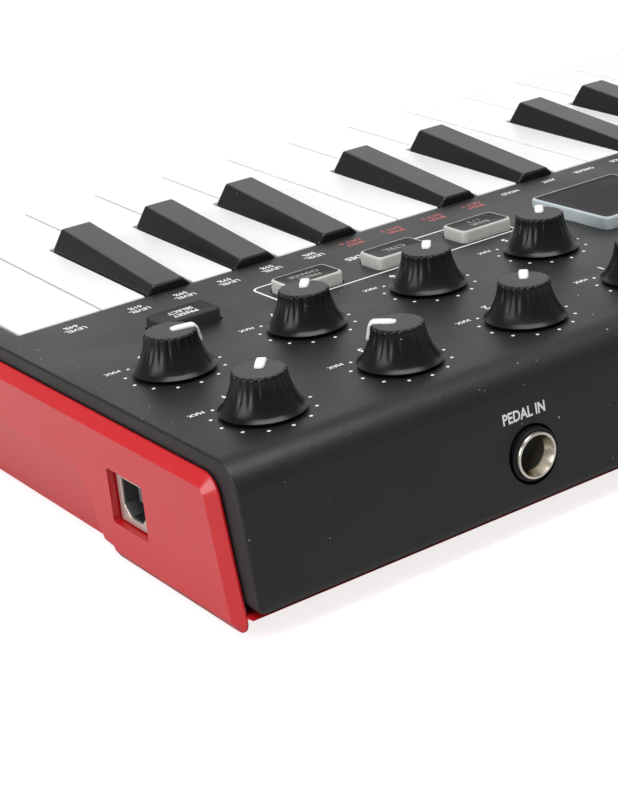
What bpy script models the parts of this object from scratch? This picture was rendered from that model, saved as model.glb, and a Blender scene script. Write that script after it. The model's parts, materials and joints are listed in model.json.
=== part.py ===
"""A compact two-octave USB keyboard controller, in metres with +Z up.

The origin is on the table under the middle of the case. +X runs to the player's right, and +Y
runs from the keys to the rear wall. Every key, knob, pad, button and the thumb stick is an
object of its own, with its origin on its joint's axis.
"""

import math

import bmesh
import bpy
from mathutils import Matrix, Vector

# ------------------------------------------------------------------ overall sizes
WIDTH = 0.3180
DEPTH = 0.1757
PANEL_Z = 0.0340  # control panel above the table
FOOT_HEIGHT = 0.0023
FOOT_RADIUS = 0.0060

# ------------------------------------------------------------------ walls and clearances
CLEAR = 0.0003  # between fixed pieces that meet
PANEL_WALL = 0.0025
BLACK_WALL = 0.0020
RED_WALL = 0.0022
PLATE_RIM = 0.0004  # side plate under its chamfer
CHAMFER_OUT = 0.0017  # chamfer of the side plate, along X
CHAMFER_IN = 0.0024  # the same chamfer, in from the plate's outline

# ------------------------------------------------------------------ case profile
REAR_RADIUS = 0.0069  # panel into rear wall
REAR_WALL_LEAN = math.radians(7.0)
REAR_WALL_LOW = 0.0056
SIDE_SKIRT_LOW = 0.0220  # lower edge of the top case's end walls beside keys and sockets
REAR_SKIRT_LENGTH = 0.0320  # stretch at the rear where the end walls reach right down
PLATE_TOP_DROP = 0.0032  # side plate below the panel
PLATE_REAR_SET = 0.0090  # plate's upper rear corner in front of the rear wall's foot
PLATE_REAR_FOOT_SET = 0.0036
PLATE_LOW = 0.0005  # lower edge of the side plates behind the recess
PLATE_TOP_RADIUS = 0.0045
PLATE_HEEL_RADIUS = 0.0028
PLATE_TOE_RADIUS = 0.0050
LIP_Z = 0.0260  # red lip in front of the keys
HEEL_FLAT_LENGTH = 0.0172  # rear stretch of the floor that slopes up to the rear wall
HEEL_RISE = 0.0025
HEEL_EDGE = 0.0005

# ------------------------------------------------------------------ recess in both side plates
RECESS_TOP = 0.0180
RECESS_REAR_BACK = 0.03585  # recess ends this far behind the key opening
RECESS_REAR_SLANT = 0.0100
RECESS_FRONT_SET = 0.01785  # and starts this far behind the front
RECESS_DEPTH_TOP = 0.0008
RECESS_DEPTH_LOW = 0.0030
RECESS_RADIUS = 0.0060
RECESS_STEP_SET = 0.0006  # recess's rear end to the step in the plate's lower edge
RECESS_BLOCK = 0.0040  # wall behind the recess

# ------------------------------------------------------------------ keys
KEY_PITCH = 0.0201
WHITE_NAMES = "cdefgab"
OCTAVES = 2
WHITE_LENGTH = 0.0762
KEY_SIDE_GAP = 0.00025  # each side of a white key
KEY_FRONT_GAP = 0.0021  # white key to the lip's inner face
KEY_END_GAP = 0.0004  # key to the panel's edge
OPENING_SIDE_GAP = 0.0004
WHITE_TOP_REAR = 0.0002  # over the panel
WHITE_TOP_FRONT = 0.00285
WHITE_THICKNESS = 0.0072  # at the rear
APRON_HEIGHT = 0.0140
APRON_THICKNESS = 0.0030
BLACK_LENGTH = 0.0438
BLACK_SHOULDERS = 0.0091  # key pitch less a black key's width
BLACK_DRAFT = 0.00165  # each side of a black key leans in this far
BLACK_TOP_FRONT = 0.0070  # over the panel
BLACK_TOP_REAR = 0.0018
BLACK_FACE_SLANT = 0.0027
BLACK_SIDE_GAP = 0.0006
BLACK_FRONT_GAP = 0.0010
BLACK_OFFSETS = {"c": -0.0026, "d": 0.0020, "f": -0.0025, "g": 0.0005, "a": 0.0031}

# ------------------------------------------------------------------ key hinge, frame and contacts
HINGE_BEHIND_EDGE = 0.0059  # hinge axis behind the opening's rear edge
HINGE_DROP = 0.0065  # hinge axis below the panel
ROD_RADIUS = 0.0014
TAIL_BEHIND_HINGE = 0.0037
TAIL_TOP_GAP = 0.0009  # tail below the panel's underside
TAIL_BELOW_HINGE = 0.0029
TAIL_WIDTH = 0.0080
BLACK_TAIL_WIDTH = 0.0060
FRAME_LOW = 0.0140
FRAME_PLATE = 0.0020
FRAME_SIDE_GAP = 0.0022
HINGE_WALL = 0.0018
STOP_FROM_FRONT = 0.0116
STOP_LENGTH = 0.0060
STOP_Z = 0.0222
STRIP_FROM_HINGE = 0.0370  # front edge of the contact strip
STRIP_LENGTH = 0.0086
STRIP_Z = 0.0195
STRIP_THICKNESS = 0.0010
DOME_HEIGHT = 0.0025
DOME_RADIUS = 0.0030
DOME_TOP_RADIUS = 0.0017

# ------------------------------------------------------------------ knobs, pads and buttons
# Rows and places on the panel count backwards from the rear edge of the key opening.
CONTROL_PITCH = 0.03145
KNOB_COLUMN = 0.0444  # first knob column
KNOB_ROWS = (0.07445, 0.0434)  # rear row, front row
KNOB_RADIUS = 0.0084
KNOB_TOP_RADIUS = 0.0054
KNOB_HEIGHT = 0.0082
KNOB_LIFT = 0.0004
KNOB_SHAFT_RADIUS = 0.0030
KNOB_SHAFT_LENGTH = 0.0090
SHAFT_GAP = 0.0004
PAD_SIZE = 0.0262
PAD_HEIGHT = 0.0026
PAD_ROWS = (0.03175, 0.06295)  # front row, rear row
PAD_GAP = 0.0004
BUTTON_SIZE = (0.0142, 0.0082)
BUTTON_HEIGHT = 0.0026
BUTTON_GAP = 0.00035
FLANGE_REACH = 0.0009  # beyond pad or button
FLANGE_THICKNESS = 0.0012
FLANGE_DROP = 0.0004  # below the panel's underside
STEM_SIZE = 0.0030
STEM_DROP = 0.0014
PRESS_TRAVEL = 0.0010
BUTTONS = {
    "button_octave_down": (-0.1393, 0.02255),
    "button_octave_up": (-0.1157, 0.02255),
    "button_full_level": (-0.1393, 0.03455),
    "button_repeat": (-0.1157, 0.03455),
    "button_arpeggiator": (-0.1393, 0.04655),
    "button_tap_tempo": (-0.1157, 0.04655),
    "button_bank": (0.0453, 0.02265),
    "button_control": (0.0689, 0.02265),
    "button_program_change": (0.0927, 0.02265),
    "button_program_select": (0.1233, 0.02155),
}

# ------------------------------------------------------------------ thumb stick
STICK_AT = (-0.1275, 0.06335)
PIVOT_DROP = 0.0108  # pivot below the panel
DOME_OUTER = 0.0135
DOME_WALL = 0.0014
DOME_PANEL_GAP = 0.0005
DOME_SPREAD = math.radians(60)
STICK_TOP = 0.0208  # over the pivot
STICK_CAP_RADIUS = 0.0069
STICK_NECK_RADIUS = 0.0024
HUB_RADIUS = 0.0030
HUB_HALF = 0.0020
GIMBAL_OUTER = 0.0065
GIMBAL_INNER = 0.0044
GIMBAL_HALF = 0.0014
PIN_RADIUS = 0.0009
PIN_GAP = 0.00035
CRADLE_NEAR = 0.0084
CRADLE_FAR = 0.0103
CRADLE_HALF = 0.0019

# ------------------------------------------------------------------ control board and sockets
BOARD_TOP = 0.0231
BOARD_THICKNESS = 0.0016
BOARD_SIDE_GAP = 0.0066  # board inside the end walls' outer faces
BOARD_FRONT_GAP = 0.0124  # behind the opening's rear edge
BOARD_REAR_GAP = 0.0133  # in front of the rear of the case
POT_SIZE = 0.0096
POT_HEIGHT = 0.0055
SWITCH_SIZE = 0.0060
USB_AT = (0.0550, 0.0158)  # behind the key opening, above the table
USB_SIZE = (0.0120, 0.0108)
USB_LENGTH = 0.0160
USB_RECESS = 0.0015
USB_MOUTH = (0.0085, 0.0078)
USB_MOUTH_CHAMFER = 0.0022
USB_MOUTH_DEPTH = 0.0090
USB_TONGUE = (0.0056, 0.0032)
USB_TONGUE_SET = 0.0045
USB_CUT_GAPS = (0.0006, 0.0003)
JACK_AT = (0.0923, 0.0159)
JACK_BODY = (0.0130, 0.0210, 0.0112)
JACK_BODY_REAR = 0.00485  # in from the rear of the case
JACK_COLLAR_RADIUS = 0.0054
JACK_COLLAR_SET = 0.0006
JACK_RING_RADIUS = 0.00475
JACK_BORE_RADIUS = 0.0033
JACK_BORE_DEPTH = 0.0180
JACK_WALL_GAP = 0.0005

# ------------------------------------------------------------------ posts
POST_RADIUS = 0.0030
POST_JOIN_Z = 0.0120
SCREW_POSTS_X = (-0.1400, -0.0200, 0.1300)
SCREW_POST_FROM_REAR = 0.0094
FRAME_POSTS_X = (-0.130, 0.0, 0.130)
FRAME_POSTS_BACK = (-0.05265, -0.00465)
BOARD_POSTS_X = (-0.146, 0.010, 0.120)
BOARD_POSTS_FROM_REAR = 0.01785

# ------------------------------------------------------------------ worked out from the above
FRONT = -DEPTH / 2
REAR = DEPTH / 2
BLACK_HALF = WIDTH / 2 - CHAMFER_OUT - PLATE_RIM - CLEAR
PLATE_INNER = BLACK_HALF + CLEAR
WHITE_COUNT = 7 * OCTAVES + 1
KEYBED_HALF = KEY_PITCH * WHITE_COUNT / 2
OPENING_HALF = KEYBED_HALF + OPENING_SIDE_GAP
KEY_FRONT = FRONT + RED_WALL + KEY_FRONT_GAP
OPENING_REAR = KEY_FRONT + WHITE_LENGTH
KEY_REAR = OPENING_REAR - KEY_END_GAP
BLACK_FRONT = KEY_REAR - BLACK_LENGTH
BLACK_WIDTH = KEY_PITCH - BLACK_SHOULDERS
BLACK_TOP_WIDTH = BLACK_WIDTH - 2 * BLACK_DRAFT
HINGE_Y = OPENING_REAR + HINGE_BEHIND_EDGE
HINGE_Z = PANEL_Z - HINGE_DROP
PANEL_UNDER = PANEL_Z - PANEL_WALL
TAIL_TOP = PANEL_UNDER - TAIL_TOP_GAP
TAIL_LOW = HINGE_Z - TAIL_BELOW_HINGE
TAIL_REAR = HINGE_Y + TAIL_BEHIND_HINGE
KEY_UNDER = PANEL_Z + WHITE_TOP_REAR - WHITE_THICKNESS
SLOT_RADIUS = ROD_RADIUS + CLEAR
FRAME_TOP = FRAME_LOW + FRAME_PLATE
FRAME_HALF = OPENING_HALF - FRAME_SIDE_GAP
FLOOR_TOP = FOOT_HEIGHT + RED_WALL
BOARD_UNDER = BOARD_TOP - BOARD_THICKNESS
BOARD_HALF_WIDTH = BLACK_HALF - BOARD_SIDE_GAP
BOARD_FRONT = OPENING_REAR + BOARD_FRONT_GAP
BOARD_REAR = REAR - BOARD_REAR_GAP
FLANGE_TOP = PANEL_UNDER - FLANGE_DROP
FLANGE_UNDER = FLANGE_TOP - FLANGE_THICKNESS
SWITCH_TOP = FLANGE_UNDER - STEM_DROP - PRESS_TRAVEL - CLEAR
SHAFT_END = PANEL_Z - KNOB_SHAFT_LENGTH
STICK_PIVOT = Vector((STICK_AT[0], OPENING_REAR + STICK_AT[1], PANEL_Z - PIVOT_DROP))
KNOBS = [(KNOB_COLUMN + i * CONTROL_PITCH, OPENING_REAR + row) for row in KNOB_ROWS for i in range(4)]
PADS = [(KNOB_COLUMN - (4 - i) * CONTROL_PITCH, OPENING_REAR + row) for row in PAD_ROWS for i in range(4)]
BUTTON_PLACES = {name: (x, OPENING_REAR + y) for name, (x, y) in BUTTONS.items()}
USB_CENTRE = (OPENING_REAR + USB_AT[0], USB_AT[1])
RECESS_REAR = OPENING_REAR + RECESS_REAR_BACK
RECESS_FRONT = FRONT + RECESS_FRONT_SET
FRAME_POSTS = [(x, OPENING_REAR + y) for x in FRAME_POSTS_X for y in FRAME_POSTS_BACK]
BOARD_POSTS = [(x, REAR - BOARD_POSTS_FROM_REAR) for x in BOARD_POSTS_X]
FAR = 0.05  # cutters run this far past what they cut

FINISHES = {
    "black_shell": ((0.030, 0.030, 0.032, 1), 0.55, 0.0),
    "red_shell": ((0.62, 0.018, 0.022, 1), 0.18, 0.0),
    "white_gloss": ((0.86, 0.86, 0.87, 1), 0.18, 0.0),
    "black_gloss": ((0.012, 0.012, 0.013, 1), 0.15, 0.0),
    "knob_black": ((0.010, 0.010, 0.011, 1), 0.35, 0.0),
    "milky_silicone": ((0.52, 0.55, 0.55, 1), 0.45, 0.0),
    "dark_silicone": ((0.020, 0.020, 0.021, 1), 0.60, 0.0),
    "nickel": ((0.72, 0.67, 0.60, 1), 0.25, 1.0),
    "circuit_board": ((0.02, 0.16, 0.07, 1), 0.50, 0.0),
    "grey_plastic": ((0.16, 0.16, 0.17, 1), 0.50, 0.0),
    "grey_rubber": ((0.10, 0.10, 0.10, 1), 0.80, 0.0),
}


# ------------------------------------------------------------------ scene helpers
def clear_scene():
    for obj in list(bpy.data.objects):
        bpy.data.objects.remove(obj, do_unlink=True)


def new_collection(name):
    made = bpy.data.collections.new(name)
    bpy.context.scene.collection.children.link(made)
    return made


def finish(name):
    """The Principled material of one finish, made once."""
    if name in bpy.data.materials:
        return bpy.data.materials[name]
    colour, roughness, metallic = FINISHES[name]
    material = bpy.data.materials.new(name)
    material.use_nodes = True
    shader = material.node_tree.nodes["Principled BSDF"]
    shader.inputs["Base Color"].default_value = colour
    shader.inputs["Roughness"].default_value = roughness
    shader.inputs["Metallic"].default_value = metallic
    return material


def mesh_object(name, bm, where, at=(0, 0, 0), dress=None):
    """The bmesh as an object whose origin is at the point given, and whose mesh is relative to it."""
    mesh = bpy.data.meshes.new(name)
    bmesh.ops.recalc_face_normals(bm, faces=bm.faces)
    bm.to_mesh(mesh)
    bm.free()
    obj = bpy.data.objects.new(name, mesh)
    obj.location = at
    where.objects.link(obj)
    if dress:
        mesh.materials.append(finish(dress))
    return obj


def boolean(obj, tool, operation="DIFFERENCE", self_crossing=False):
    modifier = obj.modifiers.new(f"{operation.lower()}_{tool.name}", "BOOLEAN")
    modifier.operation = operation
    modifier.solver = "EXACT"
    modifier.use_self = self_crossing
    modifier.object = tool
    tool.hide_render = True
    tool.display_type = "WIRE"


# ------------------------------------------------------------------ shape helpers
def add_box(bm, low, high):
    low, high = Vector(low), Vector(high)
    size = high - low
    matrix = Matrix.Translation((low + high) / 2) @ Matrix.Diagonal((*size, 1))
    return bmesh.ops.create_cube(bm, size=1, matrix=matrix)["verts"]


def add_cylinder(bm, start, end, radius, sides, end_radius=None):
    start, end = Vector(start), Vector(end)
    along = end - start
    turn = along.to_track_quat("Z", "Y").to_matrix().to_4x4()
    far_radius = radius if end_radius is None else end_radius
    bmesh.ops.create_cone(
        bm,
        cap_ends=True,
        segments=sides,
        radius1=radius,
        radius2=far_radius,
        depth=along.length,
        matrix=Matrix.Translation((start + end) / 2) @ turn,
    )


def add_stack(bm, levels):
    """A closed block from rectangles (half width, half length, height), lofted from the bottom up."""
    (x0, y0, z0), (x1, y1, z1) = levels[:2]
    verts = bmesh.ops.create_cube(bm, size=2)["verts"]
    for vert in verts:
        half_x, half_y, height = (x1, y1, z1) if vert.co.z > 0 else (x0, y0, z0)
        vert.co = (vert.co.x * half_x, vert.co.y * half_y, height)
    top = max((face for face in bm.faces), key=lambda face: face.calc_center_median().z)
    for half_x, half_y, height in levels[2:]:
        before = top.verts[:]
        signs = [(math.copysign(1, v.co.x), math.copysign(1, v.co.y)) for v in before]
        top = bmesh.ops.extrude_discrete_faces(bm, faces=[top])["faces"][0]
        for vert, (sign_x, sign_y) in zip(top.verts, signs):
            vert.co = (sign_x * half_x, sign_y * half_y, height)


def rounded(corners, steps=4):
    """An outline's points. A corner is (u, v, radius), and a radius above 0 becomes an arc."""
    points = []
    for i, (u, v, radius) in enumerate(corners):
        here = Vector((u, v))
        if radius <= 0:
            points.append(here)
            continue
        back = (Vector(corners[i - 1][:2]) - here).normalized()
        ahead = (Vector(corners[(i + 1) % len(corners)][:2]) - here).normalized()
        half = back.angle(ahead) / 2
        centre = here + (back + ahead).normalized() * radius / math.sin(half)
        start = here + back * radius / math.tan(half) - centre
        sweep = start.angle_signed(here + ahead * radius / math.tan(half) - centre)
        for step in range(steps + 1):
            turn = Matrix.Rotation(-sweep * step / steps, 2)
            points.append(centre + turn @ start)
    return points


TURNED = {
    "X": Matrix(((0, 0, 1, 0), (1, 0, 0, 0), (0, 1, 0, 0), (0, 0, 0, 1))),
    "Z": Matrix.Identity(4),
}


def prism(name, outline, low, high, axis, where, at=(0, 0, 0), dress=None):
    """A flat outline made solid from low to high. It holds (Y, Z) pairs for axis X, (X, Y) for Z."""
    curve = bpy.data.curves.new(name, "CURVE")
    curve.dimensions = "2D"
    curve.fill_mode = "BOTH"
    curve.extrude = (high - low) / 2
    spline = curve.splines.new("POLY")
    spline.points.add(len(outline) - 1)
    spline.use_cyclic_u = True
    for point, (u, v) in zip(spline.points, outline):
        point.co = (u, v, 0, 1)
    flat = bpy.data.objects.new(name, curve)
    where.objects.link(flat)
    bpy.context.view_layer.update()
    graph = bpy.context.evaluated_depsgraph_get()
    mesh = bpy.data.meshes.new_from_object(flat.evaluated_get(graph))
    bpy.data.objects.remove(flat, do_unlink=True)
    bm = bmesh.new()
    bm.from_mesh(mesh)
    bpy.data.meshes.remove(mesh)
    bmesh.ops.remove_doubles(bm, verts=bm.verts, dist=1e-6)
    bmesh.ops.dissolve_limit(bm, angle_limit=math.radians(0.2), verts=bm.verts, edges=bm.edges)
    middle = Matrix.Translation((0, 0, (low + high) / 2))
    bmesh.ops.transform(bm, matrix=Matrix.Translation(-Vector(at)) @ TURNED[axis] @ middle, verts=bm.verts)
    return mesh_object(name, bm, where, at, dress)


def turned(name, profile, steps, where, at, dress):
    """A solid turned about Z. The profile's (radius, height) pairs run down its outer side."""
    bm = bmesh.new()
    verts = [bm.verts.new((radius, 0, height)) for radius, height in profile]
    for first, second in zip(verts, verts[1:]):
        bm.edges.new((first, second))
    mesh = bpy.data.meshes.new(name)
    bm.to_mesh(mesh)
    bm.free()
    mesh.materials.append(finish(dress))
    obj = bpy.data.objects.new(name, mesh)
    obj.location = at
    where.objects.link(obj)
    screw = obj.modifiers.new("turn", "SCREW")
    screw.steps = steps
    screw.render_steps = steps
    screw.use_merge_vertices = True
    screw.merge_threshold = 1e-5
    screw.use_smooth_shade = True
    return obj


def arc(radius, start, end, steps):
    """(radius, height) pairs on a circle about the origin, at angles from +Z."""
    turn = (end - start) / steps
    return [
        (radius * math.sin(start + i * turn), radius * math.cos(start + i * turn))
        for i in range(steps + 1)
    ]


# ------------------------------------------------------------------ casings
def rear_wall_y(height, inset=0.0):
    """The rear wall's outer face, or a face inset from it, at a height."""
    return REAR - inset / math.cos(REAR_WALL_LEAN) - (height - REAR_WALL_LOW) * math.tan(REAR_WALL_LEAN)


def panel_cutter(cutters):
    """Everything that passes through the panel or the rear wall, as one tool."""
    bm = bmesh.new()
    low, high = PANEL_UNDER - 0.001, PANEL_Z + 0.001
    for x, y in PADS:
        half = PAD_SIZE / 2 + PAD_GAP
        add_box(bm, (x - half, y - half, low), (x + half, y + half, high))
    for x, y in BUTTON_PLACES.values():
        half_x, half_y = (side / 2 + BUTTON_GAP for side in BUTTON_SIZE)
        add_box(bm, (x - half_x, y - half_y, low), (x + half_x, y + half_y, high))
    for x, y in KNOBS:
        add_cylinder(bm, (x, y, low), (x, y, high), KNOB_SHAFT_RADIUS + SHAFT_GAP, 12)
    bmesh.ops.create_uvsphere(
        bm, u_segments=20, v_segments=12, radius=DOME_OUTER + DOME_PANEL_GAP, matrix=Matrix.Translation(STICK_PIVOT)
    )
    x, z = JACK_AT
    add_cylinder(bm, (x, REAR - 0.012, z), (x, REAR + FAR, z), JACK_COLLAR_RADIUS + JACK_WALL_GAP, 16)
    return mesh_object("cut_panel_holes", bm, cutters)


def make_top_case(part, cutters):
    arm_front = FRONT + RED_WALL + CLEAR
    skirt_front = REAR - REAR_SKIRT_LENGTH
    outer = rounded(
        [
            (arm_front, SIDE_SKIRT_LOW, 0),
            (skirt_front, SIDE_SKIRT_LOW, 0),
            (skirt_front, REAR_WALL_LOW, 0),
            (REAR, REAR_WALL_LOW, 0),
            (rear_wall_y(PANEL_Z), PANEL_Z, REAR_RADIUS),
            (arm_front, PANEL_Z, 0.0015),
        ],
        steps=6,
    )
    case = prism("top_case", outer, -BLACK_HALF, BLACK_HALF, "X", part, dress="black_shell")
    inner = rounded(
        [
            (arm_front + BLACK_WALL, -FAR, 0),
            (rear_wall_y(-FAR, RED_WALL), -FAR, 0),
            (rear_wall_y(PANEL_UNDER, RED_WALL), PANEL_UNDER, REAR_RADIUS - PANEL_WALL),
            (arm_front + BLACK_WALL, PANEL_UNDER, 0),
        ],
        steps=6,
    )
    inner_half = BLACK_HALF - BLACK_WALL
    boolean(case, prism("cut_top_hollow", inner, -inner_half, inner_half, "X", cutters))
    bm = bmesh.new()
    add_box(bm, (-OPENING_HALF, FRONT - FAR, -FAR), (OPENING_HALF, OPENING_REAR, PANEL_Z + FAR))
    boolean(case, mesh_object("cut_key_opening", bm, cutters))
    boolean(case, panel_cutter(cutters))
    bm = bmesh.new()
    post_y = REAR - SCREW_POST_FROM_REAR
    for x in SCREW_POSTS_X:
        add_cylinder(bm, (x, post_y, POST_JOIN_Z + CLEAR), (x, post_y, PANEL_UNDER + 0.001), POST_RADIUS, 10)
    boolean(case, mesh_object("add_top_posts", bm, cutters), "UNION")
    return case


def side_plate(name, side, cutters):
    """One red side plate: its outline with a rim, then a chamfer up to its outer face."""
    step_high, step_low = (
        RECESS_REAR + RECESS_REAR_SLANT * (RECESS_TOP - z) / RECESS_TOP + RECESS_STEP_SET
        for z in (FOOT_HEIGHT, PLATE_LOW)
    )
    corners = [
        (FRONT, FOOT_HEIGHT, PLATE_TOE_RADIUS),
        (step_high, FOOT_HEIGHT, 0),
        (step_low, PLATE_LOW, 0),
        (REAR - PLATE_REAR_FOOT_SET, PLATE_LOW, PLATE_HEEL_RADIUS),
        (REAR - PLATE_REAR_SET, PANEL_Z - PLATE_TOP_DROP, PLATE_TOP_RADIUS),
        (FRONT, PANEL_Z - PLATE_TOP_DROP, PLATE_TOP_RADIUS),
    ]
    plate = prism(name, rounded(corners, 5), PLATE_INNER, PLATE_INNER + PLATE_RIM, "X", cutters)
    bm = bmesh.new()
    bm.from_mesh(plate.data)
    outer = [face for face in bm.faces if face.normal.x > 0.9]
    bmesh.ops.inset_region(bm, faces=outer, thickness=CHAMFER_IN, depth=CHAMFER_OUT, use_even_offset=True)
    if side < 0:
        bmesh.ops.scale(bm, vec=(-1, 1, 1), verts=bm.verts)
        bmesh.ops.reverse_faces(bm, faces=bm.faces)
    bm.to_mesh(plate.data)
    bm.free()
    return plate


def recess_cutter(side, cutters):
    """The shallow wedge cut from a side plate, deeper towards the floor."""
    slant = RECESS_REAR_SLANT
    corners = [
        (RECESS_FRONT - slant, -FAR / 5, 0),
        (RECESS_REAR + slant * (1 + FAR / 5 / RECESS_TOP), -FAR / 5, 0),
        (RECESS_REAR, RECESS_TOP, RECESS_RADIUS),
        (RECESS_FRONT, RECESS_TOP, RECESS_RADIUS),
    ]
    name = "cut_recess_right" if side > 0 else "cut_recess_left"
    cutter = prism(name, rounded(corners, 5), WIDTH / 2, WIDTH / 2 + 0.01, "X", cutters)
    slope = (RECESS_DEPTH_LOW - RECESS_DEPTH_TOP) / (RECESS_TOP - FOOT_HEIGHT)
    for vert in cutter.data.vertices:
        if vert.co.x < WIDTH / 2 + 0.005:
            vert.co.x -= RECESS_DEPTH_TOP + slope * (RECESS_TOP - vert.co.z)
    if side < 0:
        cutter.data.transform(Matrix.Diagonal((-1, 1, 1, 1)))
        cutter.data.flip_normals()
    return cutter


def make_bottom_case(part, cutters):
    heel = REAR - HEEL_FLAT_LENGTH
    section = rounded(
        [
            (FRONT, LIP_Z, 0),
            (FRONT, FOOT_HEIGHT, PLATE_TOE_RADIUS),
            (heel, FOOT_HEIGHT, 0),
            (REAR, FOOT_HEIGHT + HEEL_RISE, 0),
            (REAR, REAR_WALL_LOW - CLEAR, 0),
            (REAR - RED_WALL, REAR_WALL_LOW - CLEAR, 0),
            (heel, FLOOR_TOP, 0),
            (FRONT + RED_WALL, FLOOR_TOP, PLATE_TOE_RADIUS - RED_WALL),
            (FRONT + RED_WALL, LIP_Z, 0),
        ]
    )
    reach = PLATE_INNER + PLATE_RIM / 2
    case = prism("bottom_case", section, -reach, reach, "X", part, dress="red_shell")
    for side in (1, -1):
        name = "add_plate_right" if side > 0 else "add_plate_left"
        boolean(case, side_plate(name, side, cutters), "UNION")
    bm = bmesh.new()
    for side in (1, -1):
        near, far = side * (PLATE_INNER - RECESS_BLOCK), side * reach
        rear = RECESS_REAR + RECESS_REAR_SLANT + 0.001
        add_box(bm, (min(near, far), FRONT + 0.001, FOOT_HEIGHT + 0.001), (max(near, far), rear, RECESS_TOP + 0.0015))
        for y in (FRONT + 0.016, REAR - 0.024):
            x = side * (WIDTH / 2 - 0.020)
            add_cylinder(bm, (x, y, 0), (x, y, FOOT_HEIGHT + 0.001), FOOT_RADIUS, 16)
    for x in SCREW_POSTS_X:
        y = REAR - SCREW_POST_FROM_REAR
        add_cylinder(bm, (x, y, FLOOR_TOP - 0.001), (x, y, POST_JOIN_Z), POST_RADIUS, 10)
    for x, y in FRAME_POSTS:
        add_cylinder(bm, (x, y, FLOOR_TOP - 0.001), (x, y, FRAME_LOW - CLEAR), POST_RADIUS, 8)
    for x, y in BOARD_POSTS:
        add_cylinder(bm, (x, y, FLOOR_TOP - 0.001), (x, y, BOARD_UNDER - CLEAR), POST_RADIUS, 8)
    boolean(case, mesh_object("add_floor_blocks", bm, cutters), "UNION", self_crossing=True)
    for side in (1, -1):
        boolean(case, recess_cutter(side, cutters))
    bm = bmesh.new()
    (y, z), (half_y, half_z) = USB_CENTRE, (size / 2 + gap for size, gap in zip(USB_SIZE, USB_CUT_GAPS))
    add_box(bm, (PLATE_INNER - 0.01, y - half_y, z - half_z), (WIDTH, y + half_y, z + half_z))
    boolean(case, mesh_object("cut_usb_window", bm, cutters))
    return case


# ------------------------------------------------------------------ keys
def white_top(y):
    """Height of the white keys' top face, which rises towards the player."""
    share = (KEY_REAR - y) / (KEY_REAR - KEY_FRONT)
    return PANEL_Z + WHITE_TOP_REAR + share * (WHITE_TOP_FRONT - WHITE_TOP_REAR)


def slot_points():
    """The slot that clips over the hinge rod, from its front foot over the top to its rear foot."""
    ends = [(HINGE_Y - SLOT_RADIUS, TAIL_LOW), (HINGE_Y + SLOT_RADIUS, TAIL_LOW)]
    over = [
        (HINGE_Y - SLOT_RADIUS * math.cos(a), HINGE_Z + SLOT_RADIUS * math.sin(a))
        for a in (math.pi * i / 6 for i in range(7))
    ]
    return [ends[0], *over, ends[1]]


def key_names():
    """Names and left edges of the white keys, from low c to high c."""
    found = []
    for i in range(WHITE_COUNT):
        found.append((WHITE_NAMES[i % 7], i // 7 + 1, -KEYBED_HALF + i * KEY_PITCH))
    return found


def black_centres():
    """Name and centre of each black key: it is named for the white key on its left."""
    return [
        (letter, octave, left + KEY_PITCH + BLACK_OFFSETS[letter])
        for letter, octave, left in key_names()[:-1]
        if letter in BLACK_OFFSETS
    ]


def white_outline(left, blacks):
    """Plan of a white key: full width in front, narrower between black keys, then the tail."""
    right = left + KEY_PITCH
    notch_y = BLACK_FRONT - BLACK_FRONT_GAP
    reach = BLACK_WIDTH / 2 + BLACK_SIDE_GAP
    near_left = [c for c in blacks if abs(c - left) < KEY_PITCH / 2]
    near_right = [c for c in blacks if abs(c - right) < KEY_PITCH / 2]
    x0, x1 = left + KEY_SIDE_GAP, right - KEY_SIDE_GAP
    back0 = near_left[0] + reach if near_left else x0
    back1 = near_right[0] - reach if near_right else x1
    middle = (back0 + back1) / 2
    half = TAIL_WIDTH / 2
    points = [(x0, KEY_FRONT), (x1, KEY_FRONT)]
    if near_right:
        points += [(x1, notch_y), (back1, notch_y)]
    points += [(back1, KEY_REAR), (middle + half, KEY_REAR), (middle + half, TAIL_REAR)]
    points += [(middle - half, TAIL_REAR), (middle - half, KEY_REAR), (back0, KEY_REAR)]
    if near_left:
        points += [(back0, notch_y), (x0, notch_y)]
    return points, middle


def make_white_keys(part, cutters):
    tail_front = KEY_REAR - 0.003
    apron_low = white_top(KEY_FRONT) - APRON_HEIGHT
    section = [
        (KEY_FRONT, apron_low),
        (KEY_FRONT + APRON_THICKNESS, apron_low),
        (KEY_FRONT + APRON_THICKNESS, KEY_UNDER),
        (tail_front, KEY_UNDER),
        (tail_front, TAIL_LOW),
        *slot_points(),
        (TAIL_REAR, TAIL_LOW),
        (TAIL_REAR, TAIL_TOP),
        (KEY_REAR, TAIL_TOP),
        (KEY_REAR, white_top(KEY_REAR)),
        (KEY_FRONT, white_top(KEY_FRONT)),
    ]
    side_view = prism("keep_white_key_section", section, -WIDTH / 2, WIDTH / 2, "X", cutters)
    centres = [centre for _, _, centre in black_centres()]
    domes = []
    for letter, octave, left in key_names():
        outline, middle = white_outline(left, centres)
        at = (left + KEY_PITCH / 2, HINGE_Y, HINGE_Z)
        key = prism(
            f"key_{letter}{octave}", outline, 0, PANEL_Z + 0.02, "Z", part, at=at, dress="white_gloss"
        )
        boolean(key, side_view, "INTERSECT")
        domes.append(middle)
    return domes


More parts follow.
